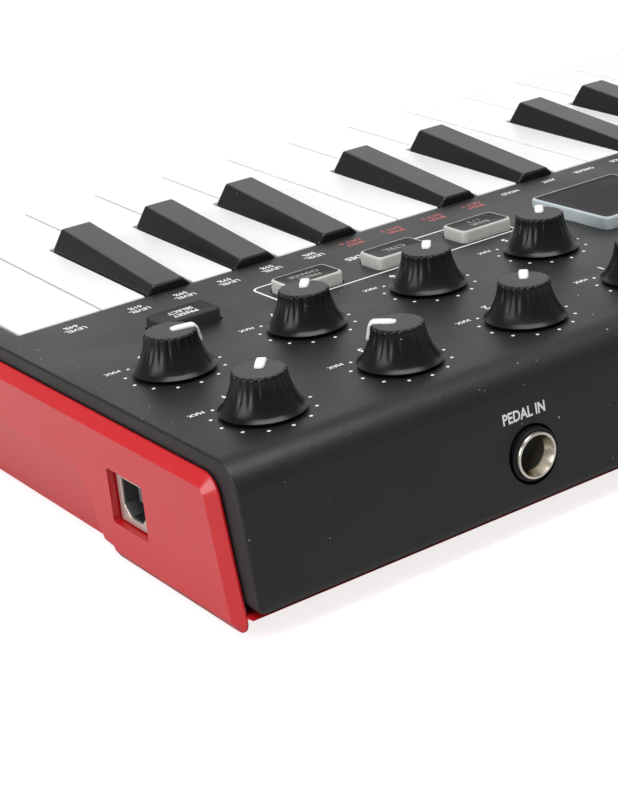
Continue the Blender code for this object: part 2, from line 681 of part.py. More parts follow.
def make_black_keys(part, cutters):
    slot = [*slot_points(), (HINGE_Y + SLOT_RADIUS, 0), (HINGE_Y - SLOT_RADIUS, 0)]
    slot_tool = prism("cut_hinge_slot", slot, -WIDTH / 2, WIDTH / 2, "X", cutters)
    middle_y = (BLACK_FRONT + KEY_REAR) / 2
    half = BLACK_WIDTH / 2
    for letter, octave, centre in black_centres():
        name = f"key_{letter}_sharp{octave}"
        at = Vector((centre, HINGE_Y, HINGE_Z))
        bm = bmesh.new()
        add_box(bm, (-half, BLACK_FRONT, KEY_UNDER), (half, KEY_REAR, PANEL_Z))
        for vert in bm.verts:
            if vert.co.z > KEY_UNDER + 0.001:
                vert.co.z = white_top(vert.co.y)
        top = max(bm.faces, key=lambda face: face.calc_center_median().z)
        top = bmesh.ops.extrude_discrete_faces(bm, faces=[top])["faces"][0]
        for vert in top.verts:
            in_front = vert.co.y < middle_y
            vert.co.x *= BLACK_TOP_WIDTH / BLACK_WIDTH
            vert.co.y += BLACK_FACE_SLANT if in_front else 0
            vert.co.z = PANEL_Z + (BLACK_TOP_FRONT if in_front else BLACK_TOP_REAR)
        bmesh.ops.translate(bm, vec=(0, -HINGE_Y, -HINGE_Z), verts=bm.verts)
        key = mesh_object(name, bm, part, at, "black_gloss")
        bm = bmesh.new()
        tail_half = BLACK_TAIL_WIDTH / 2
        tail_front = KEY_REAR - 0.004 - HINGE_Y
        add_box(
            bm,
            (-tail_half, tail_front, TAIL_LOW - HINGE_Z),
            (tail_half, TAIL_REAR - HINGE_Y, TAIL_TOP - HINGE_Z),
        )
        boolean(key, mesh_object(f"add_tail_{letter}{octave}", bm, cutters, at), "UNION")
        boolean(key, slot_tool)


def make_key_frame(part, cutters):
    """Plate under the keys, with the hinge rod, the front stop and the rail of the contact strip."""
    bm = bmesh.new()
    half = FRAME_HALF
    add_box(bm, (-half, KEY_FRONT + 0.0015, FRAME_LOW), (half, HINGE_Y + 0.0045, FRAME_TOP))
    frame = mesh_object("key_frame", bm, part, dress="grey_plastic")
    bm = bmesh.new()
    sunk = FRAME_TOP - 0.0005
    wall = HINGE_WALL / 2
    add_box(bm, (-half, HINGE_Y - wall, sunk), (half, HINGE_Y + wall, HINGE_Z))
    stop = KEY_FRONT + STOP_FROM_FRONT
    add_box(bm, (-half, stop, sunk), (half, stop + STOP_LENGTH, STOP_Z))
    rail = HINGE_Y - STRIP_FROM_HINGE
    add_box(bm, (-half, rail, sunk), (half, rail + STRIP_LENGTH, STRIP_Z))
    boolean(frame, mesh_object("add_frame_rails", bm, cutters), "UNION")
    bm = bmesh.new()
    add_cylinder(bm, (-half, HINGE_Y, HINGE_Z), (half, HINGE_Y, HINGE_Z), ROD_RADIUS, 12)
    boolean(frame, mesh_object("add_hinge_rod", bm, cutters), "UNION")


def make_contact_strip(white_middles, part, cutters):
    """A rubber strip with one dome under each key."""
    front = HINGE_Y - STRIP_FROM_HINGE
    low = STRIP_Z + CLEAR
    top = low + STRIP_THICKNESS
    half = FRAME_HALF - 0.001
    bm = bmesh.new()
    add_box(bm, (-half, front, low), (half, front + STRIP_LENGTH, top))
    strip = mesh_object("contact_strip", bm, part, dress="grey_rubber")
    bm = bmesh.new()
    y = front + STRIP_LENGTH / 2
    for x in [*white_middles, *(centre for _, _, centre in black_centres())]:
        add_cylinder(bm, (x, y, top - 0.0003), (x, y, top + DOME_HEIGHT), DOME_RADIUS, 6, DOME_TOP_RADIUS)
    boolean(strip, mesh_object("add_contact_domes", bm, cutters), "UNION")


# ------------------------------------------------------------------ controls
def make_knobs(part):
    """Each knob with the shaft that turns in its potentiometer. Its origin is on the panel."""
    flare = KNOB_RADIUS - KNOB_TOP_RADIUS - 0.0002
    side = []
    for height in (0.0079, 0.0058, 0.0040, 0.0024, 0.0010):
        low = (KNOB_HEIGHT - height) / (KNOB_HEIGHT - 0.0010)
        side.append((KNOB_TOP_RADIUS + 0.0002 + flare * low**2.2, height))
    profile = [
        (0, KNOB_HEIGHT),
        (KNOB_TOP_RADIUS - 0.0002, KNOB_HEIGHT),
        *side,
        (KNOB_RADIUS, KNOB_LIFT),
        (KNOB_SHAFT_RADIUS, KNOB_LIFT),
        (KNOB_SHAFT_RADIUS, -KNOB_SHAFT_LENGTH),
        (0, -KNOB_SHAFT_LENGTH),
    ]
    for i, (x, y) in enumerate(KNOBS):
        turned(f"knob_{i + 1}", profile, 16, part, (x, y, PANEL_Z), "knob_black")


def make_pads(part):
    half = PAD_SIZE / 2
    wide = half + FLANGE_REACH
    levels = [
        (wide, wide, FLANGE_UNDER - PANEL_Z),
        (wide, wide, FLANGE_TOP - PANEL_Z),
        (half, half, FLANGE_TOP - PANEL_Z),
        (half, half, PAD_HEIGHT - 0.0004),
        (half - 0.0004, half - 0.0004, PAD_HEIGHT),
    ]
    for i, (x, y) in enumerate(PADS):
        bm = bmesh.new()
        add_stack(bm, levels)
        mesh_object(f"pad_{i + 1}", bm, part, (x, y, PANEL_Z), "milky_silicone")


def make_buttons(part):
    half_x, half_y = (side / 2 for side in BUTTON_SIZE)
    wide_x, wide_y = half_x + FLANGE_REACH, half_y + FLANGE_REACH
    stem = STEM_SIZE / 2
    levels = [
        (stem, stem, FLANGE_UNDER - STEM_DROP - PANEL_Z),
        (stem, stem, FLANGE_UNDER - PANEL_Z),
        (wide_x, wide_y, FLANGE_UNDER - PANEL_Z),
        (wide_x, wide_y, FLANGE_TOP - PANEL_Z),
        (half_x, half_y, FLANGE_TOP - PANEL_Z),
        (half_x, half_y, BUTTON_HEIGHT - 0.0004),
        (half_x - 0.0004, half_y - 0.0004, BUTTON_HEIGHT),
    ]
    for name, (x, y) in BUTTON_PLACES.items():
        bm = bmesh.new()
        add_stack(bm, levels)
        dress = "dark_silicone" if name == "button_program_select" else "milky_silicone"
        mesh_object(name, bm, part, (x, y, PANEL_Z), dress)


def make_stick(part, cutters):
    """Thumb stick: cap, neck, dust dome and hub in one piece, with a pin each way along Y."""
    inner = DOME_OUTER - DOME_WALL
    shoulder = math.asin(STICK_NECK_RADIUS / DOME_OUTER)
    under = math.asin(STICK_NECK_RADIUS / inner)
    profile = [
        (0, STICK_TOP),
        (STICK_CAP_RADIUS - 0.0020, STICK_TOP),
        (STICK_CAP_RADIUS, STICK_TOP - 0.0016),
        (STICK_CAP_RADIUS - 0.0006, STICK_TOP - 0.0034),
        (STICK_NECK_RADIUS, STICK_TOP - 0.0042),
        *arc(DOME_OUTER, shoulder, DOME_SPREAD, 5),
        *arc(inner, DOME_SPREAD, under, 4),
        (STICK_NECK_RADIUS, HUB_HALF + 0.0003),
        (HUB_RADIUS, HUB_HALF),
        (HUB_RADIUS, -HUB_HALF),
        (0, -HUB_HALF),
    ]
    stick = turned("joystick_stick", profile, 16, part, STICK_PIVOT, "dark_silicone")
    bm = bmesh.new()
    reach = GIMBAL_OUTER - PIN_GAP
    add_cylinder(bm, (0, -reach, 0), (0, reach, 0), PIN_RADIUS, 8)
    boolean(stick, mesh_object("add_stick_pins", bm, cutters, STICK_PIVOT), "UNION")


def make_gimbal(part, cutters):
    """Ring round the stick's hub, with its own pins along X in the cradle on the board."""
    profile = [
        (GIMBAL_INNER, GIMBAL_HALF),
        (GIMBAL_OUTER, GIMBAL_HALF),
        (GIMBAL_OUTER, -GIMBAL_HALF),
        (GIMBAL_INNER, -GIMBAL_HALF),
        (GIMBAL_INNER, GIMBAL_HALF),
    ]
    ring = turned("joystick_gimbal", profile, 16, part, STICK_PIVOT, "grey_plastic")
    bm = bmesh.new()
    for side in (-1, 1):
        start, end = side * (GIMBAL_INNER + 0.0008), side * (CRADLE_FAR - CLEAR)
        add_cylinder(bm, (start, 0, 0), (end, 0, 0), PIN_RADIUS, 8)
    boolean(ring, mesh_object("add_gimbal_pins", bm, cutters, STICK_PIVOT), "UNION")
    bm = bmesh.new()
    add_cylinder(bm, (0, -FAR, 0), (0, FAR, 0), PIN_RADIUS + PIN_GAP, 10)
    boolean(ring, mesh_object("cut_gimbal_bores", bm, cutters, STICK_PIVOT))


# ------------------------------------------------------------------ electronics
def make_control_board(part, cutters):
    """Board with the potentiometers, the switches and the stick's cradle."""
    bm = bmesh.new()
    half = BOARD_HALF_WIDTH
    add_box(bm, (-half, BOARD_FRONT, BOARD_UNDER), (half, BOARD_REAR, BOARD_TOP))
    board = mesh_object("control_board", bm, part, dress="circuit_board")
    bm = bmesh.new()
    sunk = BOARD_TOP - 0.0004
    for x, y in KNOBS:
        side = POT_SIZE / 2
        add_box(bm, (x - side, y - side, sunk), (x + side, y + side, BOARD_TOP + POT_HEIGHT))
    for x, y in BUTTON_PLACES.values():
        side = SWITCH_SIZE / 2
        add_box(bm, (x - side, y - side, sunk), (x + side, y + side, SWITCH_TOP))
    for side in (-1, 1):
        near, far = sorted((STICK_PIVOT.x + side * CRADLE_NEAR, STICK_PIVOT.x + side * CRADLE_FAR))
        front, rear = STICK_PIVOT.y - CRADLE_HALF, STICK_PIVOT.y + CRADLE_HALF
        add_box(bm, (near, front, sunk), (far, rear, STICK_PIVOT.z + PIN_RADIUS + 0.0012))
    boolean(board, mesh_object("add_board_components", bm, cutters), "UNION")
    bm = bmesh.new()
    for x, y in KNOBS:
        bore = KNOB_SHAFT_RADIUS + SHAFT_GAP
        add_cylinder(bm, (x, y, SHAFT_END - CLEAR), (x, y, BOARD_TOP + FAR), bore, 12)
    x, y, z = STICK_PIVOT
    add_cylinder(bm, (x, y, -FAR), (x, y, BOARD_TOP + FAR), CRADLE_NEAR - 0.0002, 20)
    boolean(board, mesh_object("cut_board_bores", bm, cutters))
    bm = bmesh.new()
    add_cylinder(bm, (x - CRADLE_FAR - 0.002, y, z), (x + CRADLE_FAR + 0.002, y, z), PIN_RADIUS + PIN_GAP, 10)
    boolean(board, mesh_object("cut_cradle_bore", bm, cutters))


def make_usb_socket(part, cutters):
    y, z = USB_CENTRE
    (width, height), (mouth_y, mouth_z) = USB_SIZE, USB_MOUTH
    face = WIDTH / 2 - USB_RECESS
    back = face - USB_MOUTH_DEPTH
    bm = bmesh.new()
    low = (face - USB_LENGTH, y - width / 2, z - height / 2)
    add_box(bm, low, (face, y + width / 2, z + height / 2))
    socket = mesh_object("usb_socket", bm, part, dress="nickel")
    left, right, chamfer = y - mouth_y / 2, y + mouth_y / 2, USB_MOUTH_CHAMFER
    floor, roof = z - mouth_z / 2, z + mouth_z / 2
    mouth = [(left, floor + chamfer), (left + chamfer, floor), (right - chamfer, floor), (right, floor + chamfer)]
    mouth += [(right, roof), (left, roof)]
    boolean(socket, prism("cut_usb_mouth", mouth, back, face + 0.002, "X", cutters))
    bm = bmesh.new()
    half_y, half_z = (side / 2 for side in USB_TONGUE)
    add_box(bm, (back - 0.001, y - half_y, z - half_z), (face - USB_TONGUE_SET, y + half_y, z + half_z))
    boolean(socket, mesh_object("add_usb_tongue", bm, cutters), "UNION")


def make_pedal_jack(part, cutters):
    x, z = JACK_AT
    width, length, height = JACK_BODY
    rear = REAR - JACK_BODY_REAR
    bm = bmesh.new()
    top = BOARD_UNDER - CLEAR
    add_box(bm, (x - width / 2, rear - length, top - height), (x + width / 2, rear, top))
    jack = mesh_object("pedal_jack", bm, part, dress="dark_silicone")
    bm = bmesh.new()
    add_cylinder(bm, (x, rear - 0.001, z), (x, REAR - JACK_COLLAR_SET, z), JACK_COLLAR_RADIUS, 16)
    boolean(jack, mesh_object("add_jack_collar", bm, cutters), "UNION")
    bm = bmesh.new()
    add_cylinder(bm, (x, rear - 0.002, z), (x, REAR, z), JACK_RING_RADIUS, 16)
    boolean(jack, mesh_object("add_jack_ring", bm, cutters), "UNION")
    bm = bmesh.new()
    add_cylinder(bm, (x, REAR - JACK_BORE_DEPTH, z), (x, REAR + 0.002, z), JACK_BORE_RADIUS, 16)
    boolean(jack, mesh_object("cut_jack_bore", bm, cutters))


def main():
    clear_scene()
    part = new_collection("keyboard_controller")
    cutters = new_collection("cutters")
    make_top_case(part, cutters)
    make_bottom_case(part, cutters)
    white_middles = make_white_keys(part, cutters)
    make_black_keys(part, cutters)
    make_key_frame(part, cutters)
    make_contact_strip(white_middles, part, cutters)
    make_knobs(part)
    make_pads(part)
    make_buttons(part)
    make_stick(part, cutters)
    make_gimbal(part, cutters)
    make_control_board(part, cutters)
    make_usb_socket(part, cutters)
    make_pedal_jack(part, cutters)


main()
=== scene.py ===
"""Looks of a compact two-octave keyboard controller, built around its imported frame.

Every piece is made in metres in the frame's own axes: X to the player's right, Y to the rear
and Z up. Each sub-assembly is a class that holds its sizes, builds its meshes and dresses them.
"""

from __future__ import annotations

import json
import logging
import math
from collections.abc import Iterable, Sequence
from dataclasses import dataclass, field
from enum import Enum

import bmesh
import bpy
from mathutils import Matrix, Vector

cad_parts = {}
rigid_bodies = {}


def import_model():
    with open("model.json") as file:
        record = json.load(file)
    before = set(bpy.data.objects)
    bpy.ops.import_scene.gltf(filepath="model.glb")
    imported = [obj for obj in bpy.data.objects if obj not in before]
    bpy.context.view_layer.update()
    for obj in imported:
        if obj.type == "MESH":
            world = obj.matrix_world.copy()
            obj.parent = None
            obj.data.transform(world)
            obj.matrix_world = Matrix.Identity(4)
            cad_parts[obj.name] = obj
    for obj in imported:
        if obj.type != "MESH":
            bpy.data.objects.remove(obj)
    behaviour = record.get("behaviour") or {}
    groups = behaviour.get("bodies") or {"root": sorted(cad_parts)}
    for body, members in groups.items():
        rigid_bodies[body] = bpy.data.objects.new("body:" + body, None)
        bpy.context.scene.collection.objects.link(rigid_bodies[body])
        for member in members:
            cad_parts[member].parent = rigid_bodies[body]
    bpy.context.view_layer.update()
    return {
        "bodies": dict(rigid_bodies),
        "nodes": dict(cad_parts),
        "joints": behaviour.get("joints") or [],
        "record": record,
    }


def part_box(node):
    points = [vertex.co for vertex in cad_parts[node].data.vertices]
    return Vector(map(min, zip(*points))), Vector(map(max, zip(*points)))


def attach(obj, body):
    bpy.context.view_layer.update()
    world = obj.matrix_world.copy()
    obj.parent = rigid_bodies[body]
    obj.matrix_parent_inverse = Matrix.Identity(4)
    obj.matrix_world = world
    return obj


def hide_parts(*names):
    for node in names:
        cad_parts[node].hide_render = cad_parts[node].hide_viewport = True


LOG = logging.getLogger("keyboard_controller")
MM = 0.001
MERGE = 2e-6  # vertices closer than this are one before edges are rounded
FLAT = math.radians(0.4)  # faces that meet at less than this count as one face

Corner = tuple[float, float, float]
Pair = tuple[float, float]
Mesh = bmesh.types.BMesh
Object = bpy.types.Object
Socket = bpy.types.NodeSocket
Tree = bpy.types.NodeTree


# ------------------------------------------------------------------ shader node groups
class Effect(Enum):
    """Surface effects that several finishes share, each one shader node group."""

    GRAIN = "moulded_grain"
    SPECKS = "dust_specks"
    HANDLING = "handling_marks"


def group_tree(name: str, inputs: dict[str, float | None], outputs: dict[str, str]) -> bpy.types.ShaderNodeTree:
    """Starts a shader node group with a vector input, number inputs and outputs.

    Args:
        name: The group's name.
        inputs: Number inputs and their defaults.
        outputs: Output names and their socket types.

    Returns:
        The group's tree, holding its input and output nodes.
    """
    tree = bpy.data.node_groups.new(name, "ShaderNodeTree")
    tree.interface.new_socket(name="Vector", in_out="INPUT", socket_type="NodeSocketVector")
    for label, value in inputs.items():
        socket = tree.interface.new_socket(name=label, in_out="INPUT", socket_type="NodeSocketFloat")
        socket.default_value = value
    for label, kind in outputs.items():
        tree.interface.new_socket(name=label, in_out="OUTPUT", socket_type=kind)
    tree.nodes.new("NodeGroupInput").name = "in"
    tree.nodes.new("NodeGroupOutput").name = "out"
    return tree


def feed(tree: Tree, socket: Socket, value: object) -> None:
    """Links an input to a socket, or sets it to a value."""
    if isinstance(value, Socket):
        tree.links.new(value, socket)
    else:
        socket.default_value = value


def add_node(tree: Tree, kind: str, **inputs: object) -> bpy.types.Node:
    """Adds a node and feeds its inputs.

    Args:
        tree: The tree that takes the node.
        kind: The node's type name.
        inputs: Sockets or values by input name, with _ in place of a space.

    Returns:
        The node.
    """
    node = tree.nodes.new(kind)
    for label, value in inputs.items():
        feed(tree, node.inputs[label.replace("_", " ")], value)
    return node


def math_node(tree: Tree, operation: str, first: object, second: object) -> Socket:
    """Adds a Math node fed by two sockets or numbers and gives its output."""
    node = tree.nodes.new("ShaderNodeMath")
    node.operation = operation
    for socket, value in zip(node.inputs, (first, second)):
        feed(tree, socket, value)
    return node.outputs[0]


def grain_group() -> bpy.types.ShaderNodeTree:
    """Height of a fine moulded texture: small pits over a softer unevenness."""
    tree = group_tree(Effect.GRAIN.value, {"Scale": 2500.0, "Unevenness": 0.3}, {"Height": "NodeSocketFloat"})
    given, out = tree.nodes["in"].outputs, tree.nodes["out"].inputs
    pits = add_node(tree, "ShaderNodeTexVoronoi", Vector=given["Vector"], Scale=given["Scale"])
    pits.feature = "SMOOTH_F1"
    coarse = math_node(tree, "MULTIPLY", given["Scale"], 0.31)
    waves = add_node(tree, "ShaderNodeTexNoise", Vector=given["Vector"], Scale=coarse, Detail=3.0)
    soft = math_node(tree, "MULTIPLY", waves.outputs[0], given["Unevenness"])
    feed(tree, out["Height"], math_node(tree, "ADD", pits.outputs["Distance"], soft))
    return tree


def specks_group() -> bpy.types.ShaderNodeTree:
    """Mask of scattered specks of dust: in a share of the cells, a dot of its own size."""
    tree = group_tree(
        Effect.SPECKS.value, {"Scale": 400.0, "Share": 0.05, "Size": 0.2}, {"Mask": "NodeSocketFloat"}
    )
    given, out = tree.nodes["in"].outputs, tree.nodes["out"].inputs
    cells = add_node(tree, "ShaderNodeTexVoronoi", Vector=given["Vector"], Scale=given["Scale"])
    parts = add_node(tree, "ShaderNodeSeparateColor", Color=cells.outputs["Color"])
    chosen = math_node(tree, "LESS_THAN", parts.outputs[0], given["Share"])
    radius = math_node(tree, "MULTIPLY", parts.outputs[1], given["Size"])
    inside = math_node(tree, "LESS_THAN", cells.outputs["Distance"], radius)
    faint = math_node(tree, "MULTIPLY", inside, parts.outputs[2])
    feed(tree, out["Mask"], math_node(tree, "MULTIPLY", chosen, faint))
    return tree


def handling_group() -> bpy.types.ShaderNodeTree:
    """Roughness that wanders a little over a surface, as handling leaves it."""
    tree = group_tree(
        Effect.HANDLING.value, {"Scale": 40.0, "Lowest": 0.3, "Highest": 0.4}, {"Roughness": "NodeSocketFloat"}
    )
    given, out = tree.nodes["in"].outputs, tree.nodes["out"].inputs
    cloud = add_node(
        tree, "ShaderNodeTexNoise", Vector=given["Vector"], Scale=given["Scale"], Detail=4.0, Distortion=0.6
    )
    spread = add_node(tree, "ShaderNodeMapRange", Value=cloud.outputs[0], From_Min=0.35, From_Max=0.65)
    feed(tree, spread.inputs["To Min"], given["Lowest"])
    feed(tree, spread.inputs["To Max"], given["Highest"])
    feed(tree, out["Roughness"], spread.outputs[0])
    return tree


GROUP_MAKERS = {Effect.GRAIN: grain_group, Effect.SPECKS: specks_group, Effect.HANDLING: handling_group}


def effect_tree(effect: Effect) -> bpy.types.ShaderNodeTree:
    """The node group of an effect, built the first time that a finish uses it."""
    found = bpy.data.node_groups.get(effect.value)
    return found or GROUP_MAKERS[effect]()


# ------------------------------------------------------------------ finishes
@dataclass(frozen=True)
class Finish:
    """One material: its colour and gloss, and how much of each shared effect it shows.

    roughness and smudge give the middle and spread of its gloss, grain the height of its
    moulded texture in metres, and specks the share of dusty cells.
    """

    name: str
    colour: tuple[float, float, float]
    roughness: float
    smudge: float = 0.04
    metallic: float = 0.0
    specular: float = 0.5
    coat: float = 0.0
    translucence: float = 0.0
    grain: float = 0.0
    grain_scale: float = 2500.0
    specks: float = 0.0
    speck_scale: float = 1000.0
    speck_colour: tuple[float, float, float] = (0.50, 0.50, 0.48)
    mottle: float = 0.06

    def material(self) -> bpy.types.Material:
        """The material of this finish, built the first time that it is asked for."""
        found = bpy.data.materials.get(self.name)
        return found or self._build()

    def _build(self) -> bpy.types.Material:
        """Builds the material's nodes."""
        material = bpy.data.materials.new(self.name)
        material.use_nodes = True
        tree = material.node_tree
        shader = tree.nodes["Principled BSDF"]
        place = tree.nodes.new("ShaderNodeTexCoord").outputs["Object"]
        gloss = self._effect(
            tree, Effect.HANDLING, place, Lowest=self.roughness - self.smudge, Highest=self.roughness + self.smudge
        )
        values = {
            "Base Color": self._colour(tree, place),
            "Roughness": gloss.outputs["Roughness"],
            "Metallic": self.metallic,
            "Specular IOR Level": self.specular,
            "Coat Weight": self.coat,
            "Coat Roughness": 0.05,
        }
        if self.translucence > 0:
            values |= {"Subsurface Weight": self.translucence, "Subsurface Scale": 1.2 * MM}
            values["Subsurface Radius"] = (1.0, 1.0, 1.0)
        for label, value in values.items():
            feed(tree, shader.inputs[label], value)
        if self.grain > 0:
            height = self._effect(tree, Effect.GRAIN, place, Scale=self.grain_scale).outputs["Height"]
            bump = add_node(tree, "ShaderNodeBump", Distance=self.grain, Strength=0.6, Height=height)
            feed(tree, shader.inputs["Normal"], bump.outputs["Normal"])
        material.diffuse_color = (*self.colour, 1.0)
        return material

    def _colour(self, tree: Tree, place: Socket) -> Socket:
        """The colour with a faint mottle, and dust on top where the finish has any.

        Args:
            tree: The material's tree.
            place: The coordinates that the effects read.

        Returns:
            The socket that gives the colour.
        """
        cloud = add_node(tree, "ShaderNodeTexNoise", Vector=place, Scale=90.0, Detail=5.0)
        darker = (*(c * (1 - self.mottle) for c in self.colour), 1)
        lighter = (*(min(c * (1 + self.mottle), 1.0) for c in self.colour), 1)
        colour = self._mix(tree, cloud.outputs[0], darker, lighter)
        if self.specks <= 0:
            return colour
        dust = self._effect(tree, Effect.SPECKS, place, Scale=self.speck_scale, Share=self.specks)
        return self._mix(tree, dust.outputs["Mask"], colour, (*self.speck_colour, 1))

    @staticmethod
    def _mix(tree: Tree, share: Socket, first: object, second: object) -> Socket:
        """Mixes two colours, which are sockets or values, by a share and gives the result."""
        mix = tree.nodes.new("ShaderNodeMix")
        mix.data_type = "RGBA"
        for label, value in (("Factor", share), ("A", first), ("B", second)):
            feed(tree, mix.inputs[label], value)
        return mix.outputs["Result"]

    def _effect(
        self, tree: Tree, effect: Effect, place: Socket, **values: float
    ) -> bpy.types.Node:
        """Places a shared effect in the material with its own values.

        Args:
            tree: The material's tree.
            effect: The effect to place.
            place: The coordinates that it reads.
            values: Its inputs by name.

        Returns:
            The group node.
        """
        node = tree.nodes.new("ShaderNodeGroup")
        node.node_tree = effect_tree(effect)
        for label, value in {"Vector": place, **values}.items():
            feed(tree, node.inputs[label], value)
        return node


PANEL_BLACK = Finish(
    "panel_black", (0.012, 0.012, 0.0125), 0.44, specular=0.40, grain=0.05 * MM, grain_scale=2600, specks=0.035
)
RED_GLOSS = Finish(
    "red_gloss", (0.62, 0.012, 0.018), 0.24, smudge=0.03, coat=0.3, grain=0.004 * MM, grain_scale=900, mottle=0.03
)
WHITE_KEY = Finish("white_key_gloss", (0.88, 0.88, 0.895), 0.28, smudge=0.03, specular=0.3, mottle=0.01)
BLACK_KEY = Finish(
    "black_key_gloss", (0.010, 0.010, 0.011), 0.24, specks=0.02, grain=0.004 * MM, grain_scale=1500
)
KNOB_SKIRT = Finish("knob_skirt_gloss", (0.005, 0.005, 0.0055), 0.30, smudge=0.05, specular=0.32, specks=0.02)
KNOB_CAP = Finish("knob_cap_matte", (0.038, 0.038, 0.040), 0.55, grain=0.02 * MM, grain_scale=4000)
POINTER_WHITE = Finish("pointer_white", (0.86, 0.86, 0.83), 0.4, mottle=0.02)
PAD_SILICONE = Finish(
    "pad_silicone", (0.50, 0.56, 0.58), 0.38, translucence=0.6, grain=0.01 * MM, grain_scale=1800, mottle=0.04
)
PAD_FACE = Finish(
    "pad_face_charcoal", (0.012, 0.012, 0.013), 0.60, specular=0.25, grain=0.03 * MM, grain_scale=2600, specks=0.03
)
BUTTON_SILICONE = Finish(
    "button_silicone", (0.55, 0.57, 0.53), 0.42, translucence=0.6, grain=0.01 * MM, grain_scale=1800, mottle=0.04
)
BUTTON_FACE = Finish("button_face_charcoal", (0.016, 0.0155, 0.015), 0.5, specular=0.3, specks=0.03)
DARK_RUBBER = Finish(
    "dark_rubber", (0.010, 0.010, 0.0105), 0.42, specular=0.4, grain=0.02 * MM, grain_scale=2200, specks=0.03
)
PRINT_WHITE = Finish("print_white", (0.86, 0.86, 0.85), 0.5, mottle=0.03)
PRINT_RED = Finish("print_red", (0.50, 0.10, 0.10), 0.5, mottle=0.05)
PRINT_GREY = Finish("print_grey", (0.30, 0.28, 0.27), 0.5, mottle=0.05)
NICKEL = Finish("nickel_plate", (0.74, 0.69, 0.61), 0.22, smudge=0.06, metallic=1.0, mottle=0.05)
BRUSHED_SHELL = Finish("socket_shell", (0.70, 0.66, 0.60), 0.36, smudge=0.06, metallic=0.75, mottle=0.06)
GOLD = Finish("contact_gold", (0.83, 0.60, 0.24), 0.25, metallic=1.0)
TONGUE_GREY = Finish("tongue_grey", (0.17, 0.16, 0.155), 0.5, grain=0.01 * MM)
SOCKET_BLACK = Finish("socket_black", (0.005, 0.005, 0.0055), 0.42, specular=0.3, grain=0.01 * MM)
FOOT_RUBBER = Finish("foot_rubber", (0.030, 0.030, 0.030), 0.75, grain=0.04 * MM, grain_scale=1800)
SCREW_STEEL = Finish("screw_steel", (0.26, 0.26, 0.27), 0.33, metallic=1.0)
BOARD_GREEN = Finish("board_green", (0.012, 0.110, 0.045), 0.35, coat=0.3, grain=0.02 * MM, grain_scale=500)
FRAME_GREY = Finish("frame_grey", (0.14, 0.14, 0.145), 0.5, grain=0.03 * MM)
CONTACT_RUBBER = Finish("contact_rubber", (0.10, 0.10, 0.10), 0.7, grain=0.03 * MM)
FLOOR_PALE = Finish("floor_pale", (0.62, 0.62, 0.62), 0.9, smudge=0.02, specular=0.1, mottle=0.005)


# ------------------------------------------------------------------ shapes
def rounded(corners: Sequence[Corner], steps: int = 8) -> list[Pair]:
    """An outline whose corners (u, v, radius) become arcs where the radius is above 0.

    Args:
        corners: The corners in order.
        steps: Segments in each arc.

    Returns:
        The outline's points.
    """
    points: list[Pair] = []
    for i, (u, v, radius) in enumerate(corners):
        here = Vector((u, v))
        if radius <= 0:
            points.append((u, v))
            continue
        back = (Vector(corners[i - 1][:2]) - here).normalized()
        ahead = (Vector(corners[(i + 1) % len(corners)][:2]) - here).normalized()
        half = back.angle(ahead) / 2
        centre = here + (back + ahead).normalized() * radius / math.sin(half)
        start = here + back * radius / math.tan(half) - centre
        sweep = start.angle_signed(here + ahead * radius / math.tan(half) - centre)
        for step in range(steps + 1):
            point = centre + Matrix.Rotation(-sweep * step / steps, 2) @ start
            points.append((point.x, point.y))
    return points


def rectangle(half_x: float, half_y: float, radius: float, steps: int = 6) -> list[Pair]:
    """A rounded rectangle's outline about its centre, anticlockwise."""
    corners = [(-half_x, -half_y), (half_x, -half_y), (half_x, half_y), (-half_x, half_y)]
    return rounded([(x, y, max(radius, 0.05 * MM)) for x, y in corners], steps)


def circle(radius: float, sides: int) -> list[Pair]:
    """A circle's points about the origin, anticlockwise."""
    return [(radius * math.cos(math.tau * i / sides), radius * math.sin(math.tau * i / sides)) for i in range(sides)]


def arc(radius: float, start: float, end: float, steps: int) -> list[Pair]:
    """Points of an arc whose angles are measured from the second axis towards the first."""
    turns = (start + (end - start) * i / steps for i in range(steps + 1))
    return [(radius * math.sin(turn), radius * math.cos(turn)) for turn in turns]


def level(outline: Iterable[Pair], height: float, centre: Pair = (0.0, 0.0)) -> list[Vector]:
    """An outline laid flat at a height, about a centre."""
    return [Vector((centre[0] + x, centre[1] + y, height)) for x, y in outline]


def slab(outline: Sequence[Pair], low: float, high: float, axis: str) -> Mesh:
    """A flat outline made solid from low to high.

    Args:
        outline: (Y, Z) pairs for axis X, or (X, Y) pairs for axis Z.
        low: Where it starts along the axis.
        high: Where it ends along the axis.
        axis: "X" or "Z".

    Returns:
        The solid, its faces outwards.
    """
    ends = [
        [Vector((along, u, v)) if axis == "X" else Vector((u, v, along)) for u, v in outline]
        for along in (low, high)
    ]
    return loft(ends)


def loft(rings: Sequence[Sequence[Vector]], materials: Sequence[int] = (), caps: bool = True) -> Mesh:
    """A skin over rings of equally many points, closed at both ends.

    Args:
        rings: The rings in order along the piece.
        materials: The material index of each band between rings, and then of the last cap.
        caps: Whether the first and last rings are closed with a face.

    Returns:
        The skin, its faces outwards.
    """
    bm = bmesh.new()
    rows = [[bm.verts.new(point) for point in ring] for ring in rings]
    count = len(rows[0])
    for band, (lower, upper) in enumerate(zip(rows, rows[1:])):
        for i in range(count):
            face = bm.faces.new((lower[i], lower[(i + 1) % count], upper[(i + 1) % count], upper[i]))
            face.material_index = materials[band] if band < len(materials) else 0
    if caps:
        bm.faces.new(list(reversed(rows[0])))
        top = bm.faces.new(rows[-1])
        top.material_index = materials[-1] if materials else 0
    bmesh.ops.remove_doubles(bm, verts=bm.verts, dist=1e-7)
    bmesh.ops.recalc_face_normals(bm, faces=bm.faces)
    return bm


